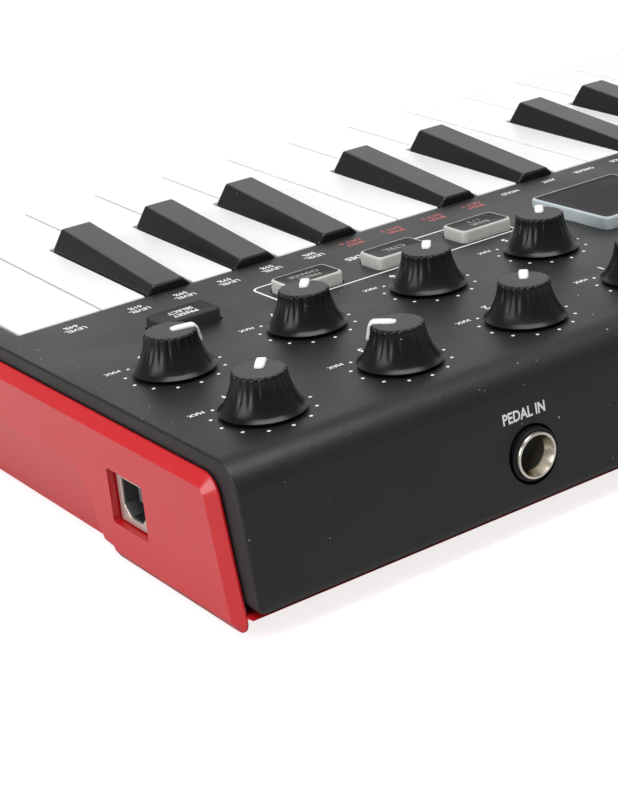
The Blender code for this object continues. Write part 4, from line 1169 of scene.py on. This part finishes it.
# ------------------------------------------------------------------ controls
@dataclass
class Knobs:
    """The eight fluted rotary knobs with their raised pointers."""

    base: float = 8.4 * MM
    top: float = 5.35 * MM
    height: float = 8.2 * MM
    lift: float = 0.4 * MM
    flutes: int = 20
    flute_depth: float = 0.32 * MM
    steps_per_flute: int = 10
    shaft: float = 3.0 * MM
    shaft_length: float = 9.0 * MM
    pointer_half: float = 0.98 * MM
    pointer_raise: float = 0.48 * MM
    pointer_end: float = 4.9 * MM
    rest_angles: tuple[float, ...] = (-140, -140, 138, -140, -140, -140, -140, -78)

    @staticmethod
    def names() -> list[str]:
        """The knobs' nodes."""
        return [f"knob_{i}" for i in range(1, 9)]

    def radius_at(self, height: float) -> float:
        """The flared side's radius at a height over the panel."""
        share = (self.height - height) / (self.height - self.lift)
        return self.top + (self.base - self.top) * share**1.9

    def build(self) -> None:
        """Builds every knob with its pointer and mounts them."""
        for name, angle in zip(self.names(), self.rest_angles):
            place = middle(name)
            bm = joined(self._body(place), self._pointer(place, angle))
            knob = piece(f"{name}_turned", bm, [KNOB_SKIRT, KNOB_CAP, POINTER_WHITE], sharp=62)
            settle(knob, name, "knob_black", name)

    def _body(self, place: Vector) -> Mesh:
        """The fluted skirt, the flat cap and the shaft below."""
        sides = self.flutes * self.steps_per_flute
        rings: list[list[Vector]] = []
        materials: list[int] = []

        def add(radius: float, height: float, depth: float, material: int) -> None:
            """Adds a ring, scalloped by a depth, and the material of the band above it."""
            ring = []
            for i in range(sides):
                turn = math.tau * i / sides
                groove = (0.5 + 0.5 * math.cos(self.flutes * turn)) ** 3
                r = max(radius - depth * groove, 1e-7)
                ring.append(place + Vector((r * math.cos(turn), r * math.sin(turn), height)))
            rings.append(ring)
            materials.append(material)

        bottom = -self.shaft_length
        for radius, height in ((0, bottom), (self.shaft - 0.3 * MM, bottom), (self.shaft, bottom + 0.3 * MM)):
            add(radius, height, 0, 0)
        add(self.shaft, self.lift, 0, 0)
        for inset, rise in ((0.55, 0.0), (0.22, 0.08), (0.04, 0.26), (0.0, 0.45)):
            add(self.base - inset * MM, self.lift + rise * MM, 0, 0)
        steps, start, end, smooth = 22, self.lift + 0.62 * MM, self.height - 0.45 * MM, 2.6 * MM
        for i in range(1, steps + 1):
            height = start + (end - start) * i / steps
            share = max(0.0, (height - smooth) / (self.height - smooth))
            blend = 0.12 * MM * min(1.0, i / 4)
            add(self.radius_at(height) - blend, height, self.flute_depth * min(1.0, share**0.8), 0)
        rim = self.top - 0.12 * MM
        add(rim - 0.10 * MM, self.height - 0.20 * MM, self.flute_depth, 0)
        add(rim - 0.32 * MM, self.height - 0.03 * MM, self.flute_depth * 0.8, 0)
        add(rim - 0.60 * MM, self.height, self.flute_depth * 0.3, 1)
        add(rim - 1.0 * MM, self.height, 0, 1)
        add(0, self.height, 0, 1)
        return loft(rings, materials)

    def _pointer(self, place: Vector, angle: float) -> Mesh:
        """The white bar from the cap's middle over its edge and down the side.

        Args:
            place: The knob's place on the panel.
            angle: The pointer's angle clockwise from the rear, in degrees.

        Returns:
            The bar's mesh, with the pointer's material index.
        """
        edge = self.top - 0.35 * MM
        path = [(0.2 * MM, self.height), (0.35 * MM, self.height), (1.5 * MM, self.height), (3.4 * MM, self.height)]
        corner = 0.75 * MM
        for i in range(7):
            turn = math.pi / 2 * i / 6 * 0.9
            out_by = edge - corner + corner * math.sin(turn) + 0.12 * MM
            path.append((out_by, self.height - corner + corner * math.cos(turn)))
        for i in range(1, 7):
            height = self.height - corner - (self.height - corner - self.pointer_end) * i / 6
            path.append((self.radius_at(height) - 0.15 * MM, height))
        heading = math.radians(90 - angle)
        out = Vector((math.cos(heading), math.sin(heading), 0))
        across = Vector((-out.y, out.x, 0))
        rings = []
        for i, (r, z) in enumerate(path):
            back, ahead = path[max(i - 1, 0)], path[min(i + 1, len(path) - 1)]
            along = Vector((ahead[0] - back[0], ahead[1] - back[1])).normalized()
            normal = Vector((-along.y, along.x))
            shrink = {0: 0.55, 1: 0.85, len(path) - 1: 0.85}.get(i, 1.0)
            half, lift = self.pointer_half * shrink, self.pointer_raise * (0.75 if shrink < 1 else 1.0)
            section = [(-half, -0.5 * MM), (-half, lift * 0.45), (-half + 0.22 * MM, lift), (0, lift * 1.05)]
            section += [(half - 0.22 * MM, lift), (half, lift * 0.45), (half, -0.5 * MM)]
            ring = []
            for sideways, raised in section:
                point = Vector((r, z)) + normal * raised
                ring.append(place + out * point.x + across * sideways + Vector((0, 0, point.y)))
            rings.append(ring)
        bar = loft(rings)
        for face in bar.faces:
            face.material_index = 2
        return bar


@dataclass
class Pads:
    """The eight silicone drum pads: milky sides and a charcoal face in a thin milky rim."""

    half: float = 13.1 * MM
    height: float = 2.6 * MM
    corner: float = 1.5 * MM
    rim: float = 0.55 * MM
    flange: float = 0.9 * MM
    flange_low: float = -4.1 * MM
    flange_top: float = -2.9 * MM

    @staticmethod
    def names() -> list[str]:
        """The pads' nodes."""
        return [f"pad_{i}" for i in range(1, 9)]

    def build(self) -> None:
        """Builds every pad and mounts it."""
        for name in self.names():
            pad = piece(f"{name}_silicone", self._mesh(middle(name)), [PAD_SILICONE, PAD_FACE], sharp=60)
            settle(pad, name, "milky_silicone", name)

    def _mesh(self, place: Vector) -> Mesh:
        """A pad from its flange up to its slightly crowned face."""
        half, wide = self.half, self.half + self.flange
        bands = [
            (wide, self.flange_low, 0),
            (wide, self.flange_top, 0),
            (half, self.flange_top, 0),
            (half, self.height - 0.45 * MM, 0),
            (half - 0.13 * MM, self.height - 0.14 * MM, 0),
            (half - 0.42 * MM, self.height, 0),
            (half - self.rim - 0.1 * MM, self.height, 1),
            (half - self.rim - 0.22 * MM, self.height - 0.05 * MM, 1),
            (half * 0.7, self.height - 0.04 * MM, 1),
        ]
        rings = [
            level(rectangle(size, size, self.corner - (half - size) * 0.6), place.z + z, place[:2])
            for size, z, _ in bands
        ]
        return loft(rings, [material for _, _, material in bands])


@dataclass
class Buttons:
    """The ten silicone buttons, with a charcoal face and a printed word on each."""

    half: Pair = (7.1 * MM, 4.1 * MM)
    height: float = 2.6 * MM
    corner: float = 1.4 * MM
    rim: float = 0.45 * MM
    flange: float = 0.9 * MM
    flange_low: float = -4.1 * MM
    flange_top: float = -2.9 * MM

    WORDS = {
        "button_octave_down": ("OCT", "-"),
        "button_octave_up": ("OCT", "+"),
        "button_full_level": ("FULL", "LEVEL"),
        "button_repeat": ("REPEAT",),
        "button_arpeggiator": ("ON",),
        "button_tap_tempo": ("TAP",),
        "button_bank": ("BANK", "1 / 2"),
        "button_control": ("CTRL",),
        "button_program_change": ("PRESET", "CHANGE"),
        "button_program_select": ("PRESET", "SELECT"),
    }

    @classmethod
    def names(cls) -> list[str]:
        """The buttons' nodes."""
        return list(cls.WORDS)

    def build(self) -> None:
        """Builds every button with its print and mounts them."""
        for name, words in self.WORDS.items():
            dark = name == "button_program_select"
            finishes = [DARK_RUBBER, DARK_RUBBER] if dark else [BUTTON_SILICONE, BUTTON_FACE]
            place = middle(name)
            button = piece(f"{name}_cap", self._mesh(place), finishes, sharp=60)
            settle(button, name, "dark_rubber" if dark else "milky_silicone", name)
            print_finish = PRINT_WHITE if dark else PRINT_GREY
            settle(self._print(name, words, place, print_finish), name, "milky_silicone")

    def _mesh(self, place: Vector) -> Mesh:
        """A button from its stem and flange up to its face."""
        bands = [
            (-5.6 * MM, -2.6 * MM, -5.5 * MM, 0),
            (-5.6 * MM, -2.6 * MM, self.flange_low, 0),
            (self.flange, self.flange, self.flange_low, 0),
            (self.flange, self.flange, self.flange_top, 0),
            (0.0, 0.0, self.flange_top, 0),
            (0.0, 0.0, self.height - 0.42 * MM, 0),
            (-0.13 * MM, -0.13 * MM, self.height - 0.12 * MM, 0),
            (-0.36 * MM, -0.36 * MM, self.height, 0),
            (-self.rim - 0.1 * MM, -self.rim - 0.1 * MM, self.height, 1),
            (-self.rim - 0.2 * MM, -self.rim - 0.2 * MM, self.height - 0.05 * MM, 1),
        ]
        half_x, half_y = self.half
        rings = [
            level(rectangle(half_x + dx, half_y + dy, self.corner + dx * 0.5), place.z + z, place[:2])
            for dx, dy, z, _ in bands
        ]
        return loft(rings, [material for *_, material in bands])

    def _print(self, name: str, words: Sequence[str], place: Vector, finish: Finish) -> Object:
        """The words on a button's face.

        Args:
            name: The button's node.
            words: One or two lines.
            place: The button's place on the panel.
            finish: The print's finish.

        Returns:
            The print.
        """
        height = 1.5 * MM if len(words) > 1 else 1.9 * MM
        top = place.z + self.height - 0.05 * MM
        lines = []
        for i, line in enumerate(words):
            y = place.y + ((len(words) - 1) / 2 - i) * 2.2 * MM
            lines.append(Legend(line, (place.x, y, top), height).mesh())
        return piece(f"{name}_print", joined(*lines), [finish])


@dataclass
class ThumbStick:
    """The thumb stick: a ribbed cap on a neck, and the dust dome under the panel."""

    dome: float = 13.5 * MM
    dome_wall: float = 1.4 * MM
    spread: float = math.radians(60)
    top: float = 20.8 * MM
    cap: float = 6.9 * MM
    neck: float = 2.4 * MM
    ribs: int = 36

    @property
    def pivot(self) -> Vector:
        """The point that the stick turns about."""
        return Vector(joint_of("joystick_stick")["pos_m"])

    def build(self) -> None:
        """Builds the stick and its gimbal's dress, and mounts them."""
        pivot, top, cap, neck = self.pivot, self.top, self.cap, self.neck
        profile = [(cap * s, top - 0.9 * MM * (1 - s * s)) for s in (0.0, 0.15, 0.3, 0.45, 0.6, 0.72)]
        rim = ((1.4, 0.05), (0.8, 0.25), (0.25, 0.8), (0.0, 1.6), (0.15, 2.5), (0.7, 3.3), (1.7, 3.8))
        profile += [(cap - inset * MM, top - drop * MM) for inset, drop in rim]
        profile += [(neck + 0.8 * MM, top - 4.1 * MM), (neck, top - 5.0 * MM)]
        shoulder = math.asin((neck + 0.9 * MM) / self.dome)
        profile.append((neck, self.dome * math.cos(shoulder) + 0.8 * MM))
        profile += arc(self.dome, shoulder, self.spread, 14)
        inner = self.dome - self.dome_wall
        profile += arc(inner, self.spread, math.asin(neck / inner), 12)
        hub_radius, hub_half, pin_half, pin_radius = 3.0 * MM, 2.0 * MM, 6.15 * MM, 0.9 * MM
        profile += [(neck, 2.3 * MM), (hub_radius, hub_half), (hub_radius, -hub_half), (0, -hub_half)]
        body = lathe(profile, 96, pivot)
        pins = rod(pivot - Vector((0, pin_half, 0)), pivot + Vector((0, pin_half, 0)), pin_radius)
        stick = piece("thumb_stick", joined(body, pins), [DARK_RUBBER], sharp=40)
        settle(stick, "joystick_stick", "dark_rubber", "joystick_stick")
        pattern = Pattern("stick_ribs")
        ring = pattern.node(
            "GeometryNodeMeshCircle",
            Vertices=pattern.size("Ribs", self.ribs),
            Radius=pattern.size("Rib Ring Radius", cap - 0.15 * MM),
        )
        dot = pattern.node(
            "GeometryNodeMeshUVSphere",
            Segments=pattern.size("Rib Sides", 10),
            Rings=pattern.size("Rib Rows", 6),
            Radius=pattern.size("Rib Radius", 0.28 * MM),
        )
        circle_of_ribs = pattern.scatter(ring.outputs[0], dot.outputs[0])
        seats = [pivot + Vector((0, 0, top - 1.7 * MM))]
        ribs = pattern.bake("thumb_stick_ribs", seats, pattern.scatter(pattern.seats, circle_of_ribs), DARK_RUBBER)
        settle(ribs, "joystick_stick", "dark_rubber")


# ------------------------------------------------------------------ sockets
@dataclass
class UsbSocket:
    """The USB socket: a folded metal shell round a black sleeve of painted shade in its mouth, a tongue and its
    contacts.
    """

    mouth: Pair = (8.5 * MM, 7.8 * MM)
    chamfer: float = 2.2 * MM
    corner: float = 0.3 * MM
    contact_side: float = 1.25 * MM
    depth: float = 9.0 * MM
    # sleeve is the wall of the black lining that paints the shade inside the mouth
    sleeve: float = 0.25 * MM
    tongue: Pair = (5.6 * MM, 3.2 * MM)
    tongue_set: float = 2.6 * MM

    def _mouth(self, centre: Pair, grow: float = 0.0) -> list[Pair]:
        """The mouth's outline, grown by an amount."""
        half_y, half_z, cut = self.mouth[0] / 2 + grow, self.mouth[1] / 2 + grow, self.chamfer
        y, z = centre
        corners = [
            (y - half_y, z - half_z + cut), (y - half_y + cut, z - half_z), (y + half_y - cut, z - half_z),
            (y + half_y, z - half_z + cut), (y + half_y, z + half_z), (y - half_y, z + half_z),
        ]
        return rounded([(*corner, self.corner) for corner in corners], 4)

    def build(self) -> None:
        """Builds the shell, the black sleeve that paints shade inside the mouth, the tongue and the contacts, and
        mounts them.
        """
        low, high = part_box("usb_socket")
        face, y, z = high.x, (low.y + high.y) / 2, (low.z + high.z) / 2
        bottom, beyond = face - self.depth, face + 2 * MM
        sides = rectangle((high.y - low.y) / 2, (high.z - low.z) / 2, 0.5 * MM, 4)
        outline = [(y + side, z + up) for side, up in sides]
        shell = piece("usb_shell", slab(outline, low.x, face, "X"), [BRUSHED_SHELL])
        carve(shell, slab(self._mouth((y, z)), bottom, beyond, "X"))
        softened(shell, 0.18 * MM)
        settle(shell, "case", "socket_metal", "usb_socket")
        # A black sleeve inside the mouth: painted shade, standing in for the shadowed inside of the metal shell.
        shade_lining = slab(self._mouth((y, z), -0.02 * MM), bottom + 0.05 * MM, face - 0.5 * MM, "X")
        sleeve = piece("usb_shade_lining", shade_lining, [SOCKET_BLACK])
        carve(sleeve, slab(self._mouth((y, z), -self.sleeve), bottom + 0.4 * MM, beyond, "X"))
        settle(sleeve, "case", "jack_plastic")
        half_y, half_z = self.tongue[0] / 2, self.tongue[1] / 2
        start, end = bottom + 0.3 * MM, face - self.tongue_set
        bar = block(Vector((start, y - half_y, z - half_z)), Vector((end, y + half_y, z + half_z)))
        tongue = piece("usb_tongue", bar, [TONGUE_GREY])
        softened(tongue, 0.2 * MM)
        settle(tongue, "case", "grey_plastic")
        self._contacts(Vector(((start + end) / 2 + 0.4 * MM, y, z)), half_z)

    def _contacts(self, centre: Vector, reach: float) -> None:
        """The four gold contacts on the tongue's upper and lower faces.

        Args:
            centre: The middle of the tongue.
            reach: Half the tongue's height.
        """
        pattern = Pattern("usb_contacts")
        size = pattern.node("ShaderNodeCombineXYZ")
        for axis, (label, value) in enumerate(
            (("Contact Length", 3.2 * MM), ("Contact Width", 1.0 * MM), ("Contact Thickness", 0.12 * MM))
        ):
            pattern.tree.links.new(pattern.size(label, value), size.inputs[axis])
        strip = pattern.node("GeometryNodeMeshCube", Size=size.outputs[0])
        spread = self.contact_side
        seats = [centre + Vector((0, side * spread, up * reach)) for side in (-1, 1) for up in (-1, 1)]
        contacts = pattern.bake("usb_contacts", seats, pattern.scatter(pattern.seats, strip.outputs[0]), GOLD)
        settle(contacts, "case", "socket_metal")


@dataclass
class PedalJack:
    """The pedal jack: a plated threaded ring in a black collar, and the body behind it."""

    ring: float = 4.75 * MM
    ring_flat: float = 4.3 * MM
    bore: float = 3.3 * MM
    collar: float = 5.4 * MM
    collar_set: float = 0.6 * MM
    bore_depth: float = 18.0 * MM
    body_rear: float = 4.85 * MM
    rise: float = 5.9 * MM

    @property
    def centre(self) -> Vector:
        """The middle of the jack's outer face."""
        low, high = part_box("pedal_jack")
        return Vector(((low.x + high.x) / 2, high.y, low.z + self.rise))

    def _turned(self, name: str, slot: str, finish: Finish, profile: Sequence[Pair]) -> None:
        """Builds a part turned about the jack's axis and mounts it.

        Args:
            name: The piece's name.
            slot: The record's material slot.
            finish: The piece's finish.
            profile: (radius, distance in front of the jack's outer face) pairs.
        """
        bm = lathe(profile, 72, Vector((0, 0, 0)))
        turn = Matrix.Translation(self.centre) @ Matrix.Rotation(-math.pi / 2, 4, "X")
        bmesh.ops.transform(bm, matrix=turn, verts=bm.verts)
        settle(piece(name, bm, [finish], sharp=35), "case", slot)

    def build(self) -> None:
        """Builds the ring, the collar and the body, and mounts them."""
        ring, flat, bore = self.ring, self.ring_flat, self.bore
        back = -self.body_rear
        metal = [
            (bore, back - 1 * MM), (ring, back - 1 * MM), (ring, -0.35 * MM), (ring - 0.12 * MM, -0.1 * MM),
            (ring - 0.35 * MM, 0.0), (flat, 0.0), (flat - 0.12 * MM, -0.05 * MM), (bore + 0.12 * MM, -1.9 * MM),
            (bore, -2.2 * MM), (bore, back - 1 * MM),
        ]
        self._turned("jack_ring", "socket_metal", NICKEL, metal)
        collar = [
            (ring + 0.05 * MM, back), (self.collar, back), (self.collar, -self.collar_set - 0.25 * MM),
            (self.collar - 0.25 * MM, -self.collar_set), (ring + 0.15 * MM, -self.collar_set),
            (ring + 0.05 * MM, -self.collar_set - 0.1 * MM), (ring + 0.05 * MM, back),
        ]
        self._turned("jack_collar", "jack_plastic", SOCKET_BLACK, collar)
        bottom = -self.bore_depth
        sleeve = [
            (0, bottom), (bore + 0.6 * MM, bottom), (bore + 0.6 * MM, back - 1 * MM), (bore + 0.02 * MM, back - 1 * MM),
            (bore + 0.02 * MM, bottom + 0.5 * MM), (0, bottom + 0.5 * MM),
        ]
        self._turned("jack_sleeve", "jack_plastic", SOCKET_BLACK, sleeve)
        low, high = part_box("pedal_jack")
        top = Vector((high.x, high.y - self.body_rear, high.z))
        body = piece("jack_body", block(low, top), [SOCKET_BLACK])
        start = self.centre + Vector((0, 2 * MM, 0))
        carve(body, rod(start, start - Vector((0, self.bore_depth + 2.0 * MM, 0)), bore + 0.55 * MM, 48))
        softened(body, 0.3 * MM)
        settle(body, "case", "jack_plastic", "pedal_jack")


# ------------------------------------------------------------------ print on the panel
@dataclass
class PanelPrint:
    """The white and red print on the panel and the rear wall."""

    ring: float = 9.76 * MM
    dot: float = 0.36 * MM
    marks: int = 11
    sweep: float = 280.0
    frame_low: Pair = (38.0 * MM, 7.35 * MM)
    frame_high: Pair = (102.0 * MM, 20.85 * MM)
    line: float = 0.5 * MM
    frame_radius: float = 1.8 * MM
    gap: Pair = (63.0 * MM, 82.0 * MM)
    word: float = 1.55 * MM
    rows: Pair = (6.9 * MM, 4.6 * MM)

    def build(self) -> None:
        """Builds all the print and mounts it."""
        self.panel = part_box("top_case")[1].z
        self._dials()
        white = [legend.mesh() for legend in self._white_legends()]
        settle(piece("panel_print_white", joined(*white, self._frame()), [PRINT_WHITE]), "case", "black_shell")
        red = [legend.mesh() for legend in self._red_legends()]
        settle(piece("panel_print_red", joined(*red), [PRINT_RED]), "case", "black_shell")

    def _dials(self) -> None:
        """The ring of dots round each knob."""
        pattern = Pattern("dial_dots")
        sweep = math.radians(self.sweep)
        arc = pattern.node(
            "GeometryNodeCurveArc",
            Resolution=pattern.size("Marks", self.marks),
            Radius=pattern.size("Dial Radius", self.ring),
            Start_Angle=pattern.size("First Mark Angle", (math.pi - sweep) / 2),
            Sweep_Angle=pattern.size("Dial Sweep", sweep),
        )
        points = pattern.node("GeometryNodeCurveToPoints", Curve=arc.outputs[0])
        points.mode = "EVALUATED"
        dot = pattern.node(
            "GeometryNodeMeshCylinder",
            Vertices=pattern.size("Dot Sides", 14),
            Radius=pattern.size("Dot Radius", self.dot),
            Depth=pattern.size("Dot Thickness", 0.03 * MM),
        )
        dial = pattern.scatter(points.outputs[0], dot.outputs[0])
        seats = [middle(name) + Vector((0, 0, 0.012 * MM)) for name in Knobs.names()]
        dots = pattern.bake("dial_dots", seats, pattern.scatter(pattern.seats, dial), PRINT_WHITE)
        settle(dots, "case", "black_shell")

    def _frame(self) -> Mesh:
        """The outline round the three mode buttons, open in front where its word stands."""
        (x0, y0), (x1, y1) = self.frame_low, self.frame_high
        radius, steps, half = self.frame_radius, 8, self.line / 2
        path = [(self.gap[0], y0)]
        for cx, cy, start in ((x0, y0, 270), (x0, y1, 180), (x1, y1, 90), (x1, y0, 0)):
            centre = (cx + math.copysign(radius, (x0 + x1) / 2 - cx), cy + math.copysign(radius, (y0 + y1) / 2 - cy))
            for i in range(steps + 1):
                turn = math.radians(start - 90 * i / steps)
                path.append((centre[0] + radius * math.cos(turn), centre[1] + radius * math.sin(turn)))
        path.append((self.gap[1], y0))
        rings = []
        for i, here in enumerate(path):
            back, ahead = Vector(path[max(i - 1, 0)]), Vector(path[min(i + 1, len(path) - 1)])
            along = (ahead - back).normalized()
            across = Vector((-along.y, along.x)) * half
            place, high = Vector(here), self.panel + 0.02 * MM
            corners = ((-1, self.panel), (1, self.panel), (1, high), (-1, high))
            rings.append([Vector((*(place + across * side), z)) for side, z in corners])
        return loft(rings)

    def _over_key(self, x: float, *words: str) -> list[Legend]:
        """One or two lines of print behind the key whose rear end is at x."""
        rear, rows = Keybed().rear, self.rows[-len(words):]
        return [Legend(word, (x, rear + row, self.panel), self.word) for word, row in zip(words, rows)]

    def _white_legends(self) -> list[Legend]:
        """Numbers and plain words in white."""
        panel = self.panel
        legends = []
        for i, name in enumerate(Knobs.names()):
            place = middle(name)
            legends.append(Legend(str(i + 1), (place.x + 1.0 * MM, place.y - 11.2 * MM, panel), 2.1 * MM))
            legends.append(Legend("MAX", (place.x + 9.4 * MM, place.y - 8.2 * MM, panel), 1.25 * MM))
        for i, name in enumerate(Pads.names()):
            place = middle(name)
            legends.append(Legend(f"PAD {i + 1}", (place.x - 8.5 * MM, place.y - 14.6 * MM, panel), 1.3 * MM))
        order = Keybed().rear_centres()
        for x, word in zip(order, ("64%", "61%", "59%", "57%", "55%", "50%")):
            legends += self._over_key(x, "LEVEL", word)
        plain = "HOLD ANY ORDER WIDE NEAR DOWN UP 1/32 1/16 1/8 1/4 1/2 1 2 4".split()
        for x, word in zip(order[10:], plain):
            legends += self._over_key(x, word)
        legends.append(Legend("MODES", ((self.gap[0] + self.gap[1]) / 2, self.frame_low[1], panel), 2.0 * MM))
        for name, word in (("button_arpeggiator", "PATTERN"), ("button_tap_tempo", "TEMPO")):
            place = middle(name)
            legends.append(Legend(word, (place.x, place.y + 5.6 * MM, panel), 1.4 * MM))
        height = 24.2 * MM
        place = (PedalJack().centre.x + 0.9 * MM, TopShell().rear_at(height), height)
        legends.append(Legend("PEDAL IN", place, 2.15 * MM, Face.REAR_WALL, 0.84, 0.035))
        return legends

    def _red_legends(self) -> list[Legend]:
        """The octave numbers in red."""
        places = enumerate(Keybed().rear_centres()[6:10])
        return [legend for i, x in places for legend in self._over_key(x, "SPAN", f"OCT {4 - i}")]


# ------------------------------------------------------------------ inner pieces
@dataclass
class Inside:
    """The nodes that keep their own shape: only their finishes change."""

    finishes: dict[str, Finish] = field(
        default_factory=lambda: {
            "key_frame": FRAME_GREY,
            "contact_strip": CONTACT_RUBBER,
            "control_board": BOARD_GREEN,
            "joystick_gimbal": FRAME_GREY,
        }
    )

    def dress(self) -> None:
        """Gives each kept node its finish."""
        for name, finish in self.finishes.items():
            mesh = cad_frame()["nodes"][name].data
            mesh.materials.clear()
            mesh.materials.append(finish.material())
            LOG.info("%s: dressed in %s", name, finish.name)


# ------------------------------------------------------------------ studio
@dataclass(frozen=True)
class SoftBox:
    """A rectangular light: its place, the point that it faces, its size and its power in watts."""

    name: str
    place: tuple[float, float, float]
    aim: tuple[float, float, float]
    size: Pair
    power: float


@dataclass
class Studio:
    """The camera, the pale floor and the soft lights."""

    position: tuple[float, float, float] = (0.304811, 0.340669, 0.162998)
    azimuth: float = 147.2325
    elevation: float = 21.7779
    roll: float = -6.0769
    lens: float = 85.573
    floor_glow: float = 0.80
    room: float = 0.30
    lights: tuple[SoftBox, ...] = (
        SoftBox("overhead_box", (0.1, 0.25, 1.0), (0.0, 0.0, 0.0), (0.9, 0.5), 8.0),
        SoftBox("far_box", (-1.2, -1.3, 1.0), (0.0, 0.0, 0.0), (4.0, 1.8), 16.0),
        SoftBox("right_box", (1.2, 0.0, 0.45), (0.1, 0.0, 0.0), (0.7, 0.7), 6.0),
    )

    def build(self) -> None:
        """Builds the camera, the floor, the lights and the surroundings."""
        self._camera()
        self._floor()
        self._lights()

    def _camera(self) -> None:
        """The camera, turned by its azimuth, elevation and roll."""
        az, el, roll = (math.radians(a) for a in (self.azimuth, self.elevation, self.roll))
        ahead = Vector((-math.sin(az) * math.cos(el), math.cos(az) * math.cos(el), -math.sin(el)))
        level_right = ahead.cross(Vector((0, 0, 1))).normalized()
        level_up = level_right.cross(ahead)
        right = level_right * math.cos(roll) + level_up * math.sin(roll)
        up = right.cross(ahead)
        data = bpy.data.cameras.new("camera")
        data.lens = self.lens
        data.sensor_width = 36.0
        data.clip_start = 0.01
        camera = bpy.data.objects.new("camera", data)
        camera.matrix_world = Matrix.Translation(self.position) @ Matrix((right, up, -ahead)).transposed().to_4x4()
        bpy.context.scene.collection.objects.link(camera)
        bpy.context.scene.camera = camera

    def _floor(self) -> None:
        """A wide pale floor under the feet."""
        bm = bmesh.new()
        bmesh.ops.create_grid(bm, x_segments=1, y_segments=1, size=6.0)
        floor = piece("floor", bm, [FLOOR_PALE])
        floor.location.z = -0.0001
        tree = FLOOR_PALE.material().node_tree
        shader, ray = tree.nodes["Principled BSDF"], tree.nodes.new("ShaderNodeLightPath")
        shader.inputs["Emission Color"].default_value = (1.0, 1.0, 1.0, 1.0)
        glow = math_node(tree, "MULTIPLY", ray.outputs["Is Camera Ray"], self.floor_glow)
        tree.links.new(glow, shader.inputs["Emission Strength"])

    @staticmethod
    def _light(box: SoftBox) -> None:
        """Sets up a soft rectangular light."""
        data = bpy.data.lights.new(box.name, "AREA")
        data.shape = "RECTANGLE"
        data.size, data.size_y = box.size
        data.energy = box.power
        light = bpy.data.objects.new(box.name, data)
        light.location = box.place
        light.rotation_euler = (Vector(box.aim) - Vector(box.place)).to_track_quat("-Z", "Y").to_euler()
        bpy.context.scene.collection.objects.link(light)

    def _lights(self) -> None:
        """Three soft boxes and a bright room."""
        for light in self.lights:
            self._light(light)
        world = bpy.data.worlds.new("room")
        world.use_nodes = True
        background = world.node_tree.nodes["Background"]
        background.inputs["Color"].default_value = (1.0, 1.0, 1.0, 1.0)
        background.inputs["Strength"].default_value = self.room
        bpy.context.scene.world = world
        bpy.context.scene.view_settings.view_transform = "Standard"


_FRAME: dict = {}


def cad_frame() -> dict:
    """The loaded frame: its bodies, nodes, joints and record."""
    return _FRAME


def clear_scene() -> None:
    """Removes every object that the file started with."""
    for obj in list(bpy.data.objects):
        bpy.data.objects.remove(obj, do_unlink=True)


def main() -> None:
    """Builds the studio and every sub-assembly in order."""
    logging.basicConfig(level=logging.INFO, format="%(name)s: %(message)s")
    clear_scene()
    _FRAME.update(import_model())
    Studio().build()
    TopShell().build()
    LowerShell().build()
    Keybed().build()
    Knobs().build()
    Pads().build()
    Buttons().build()
    ThumbStick().build()
    UsbSocket().build()
    PedalJack().build()
    PanelPrint().build()
    Inside().dress()


if __name__ == "__main__":
    main()
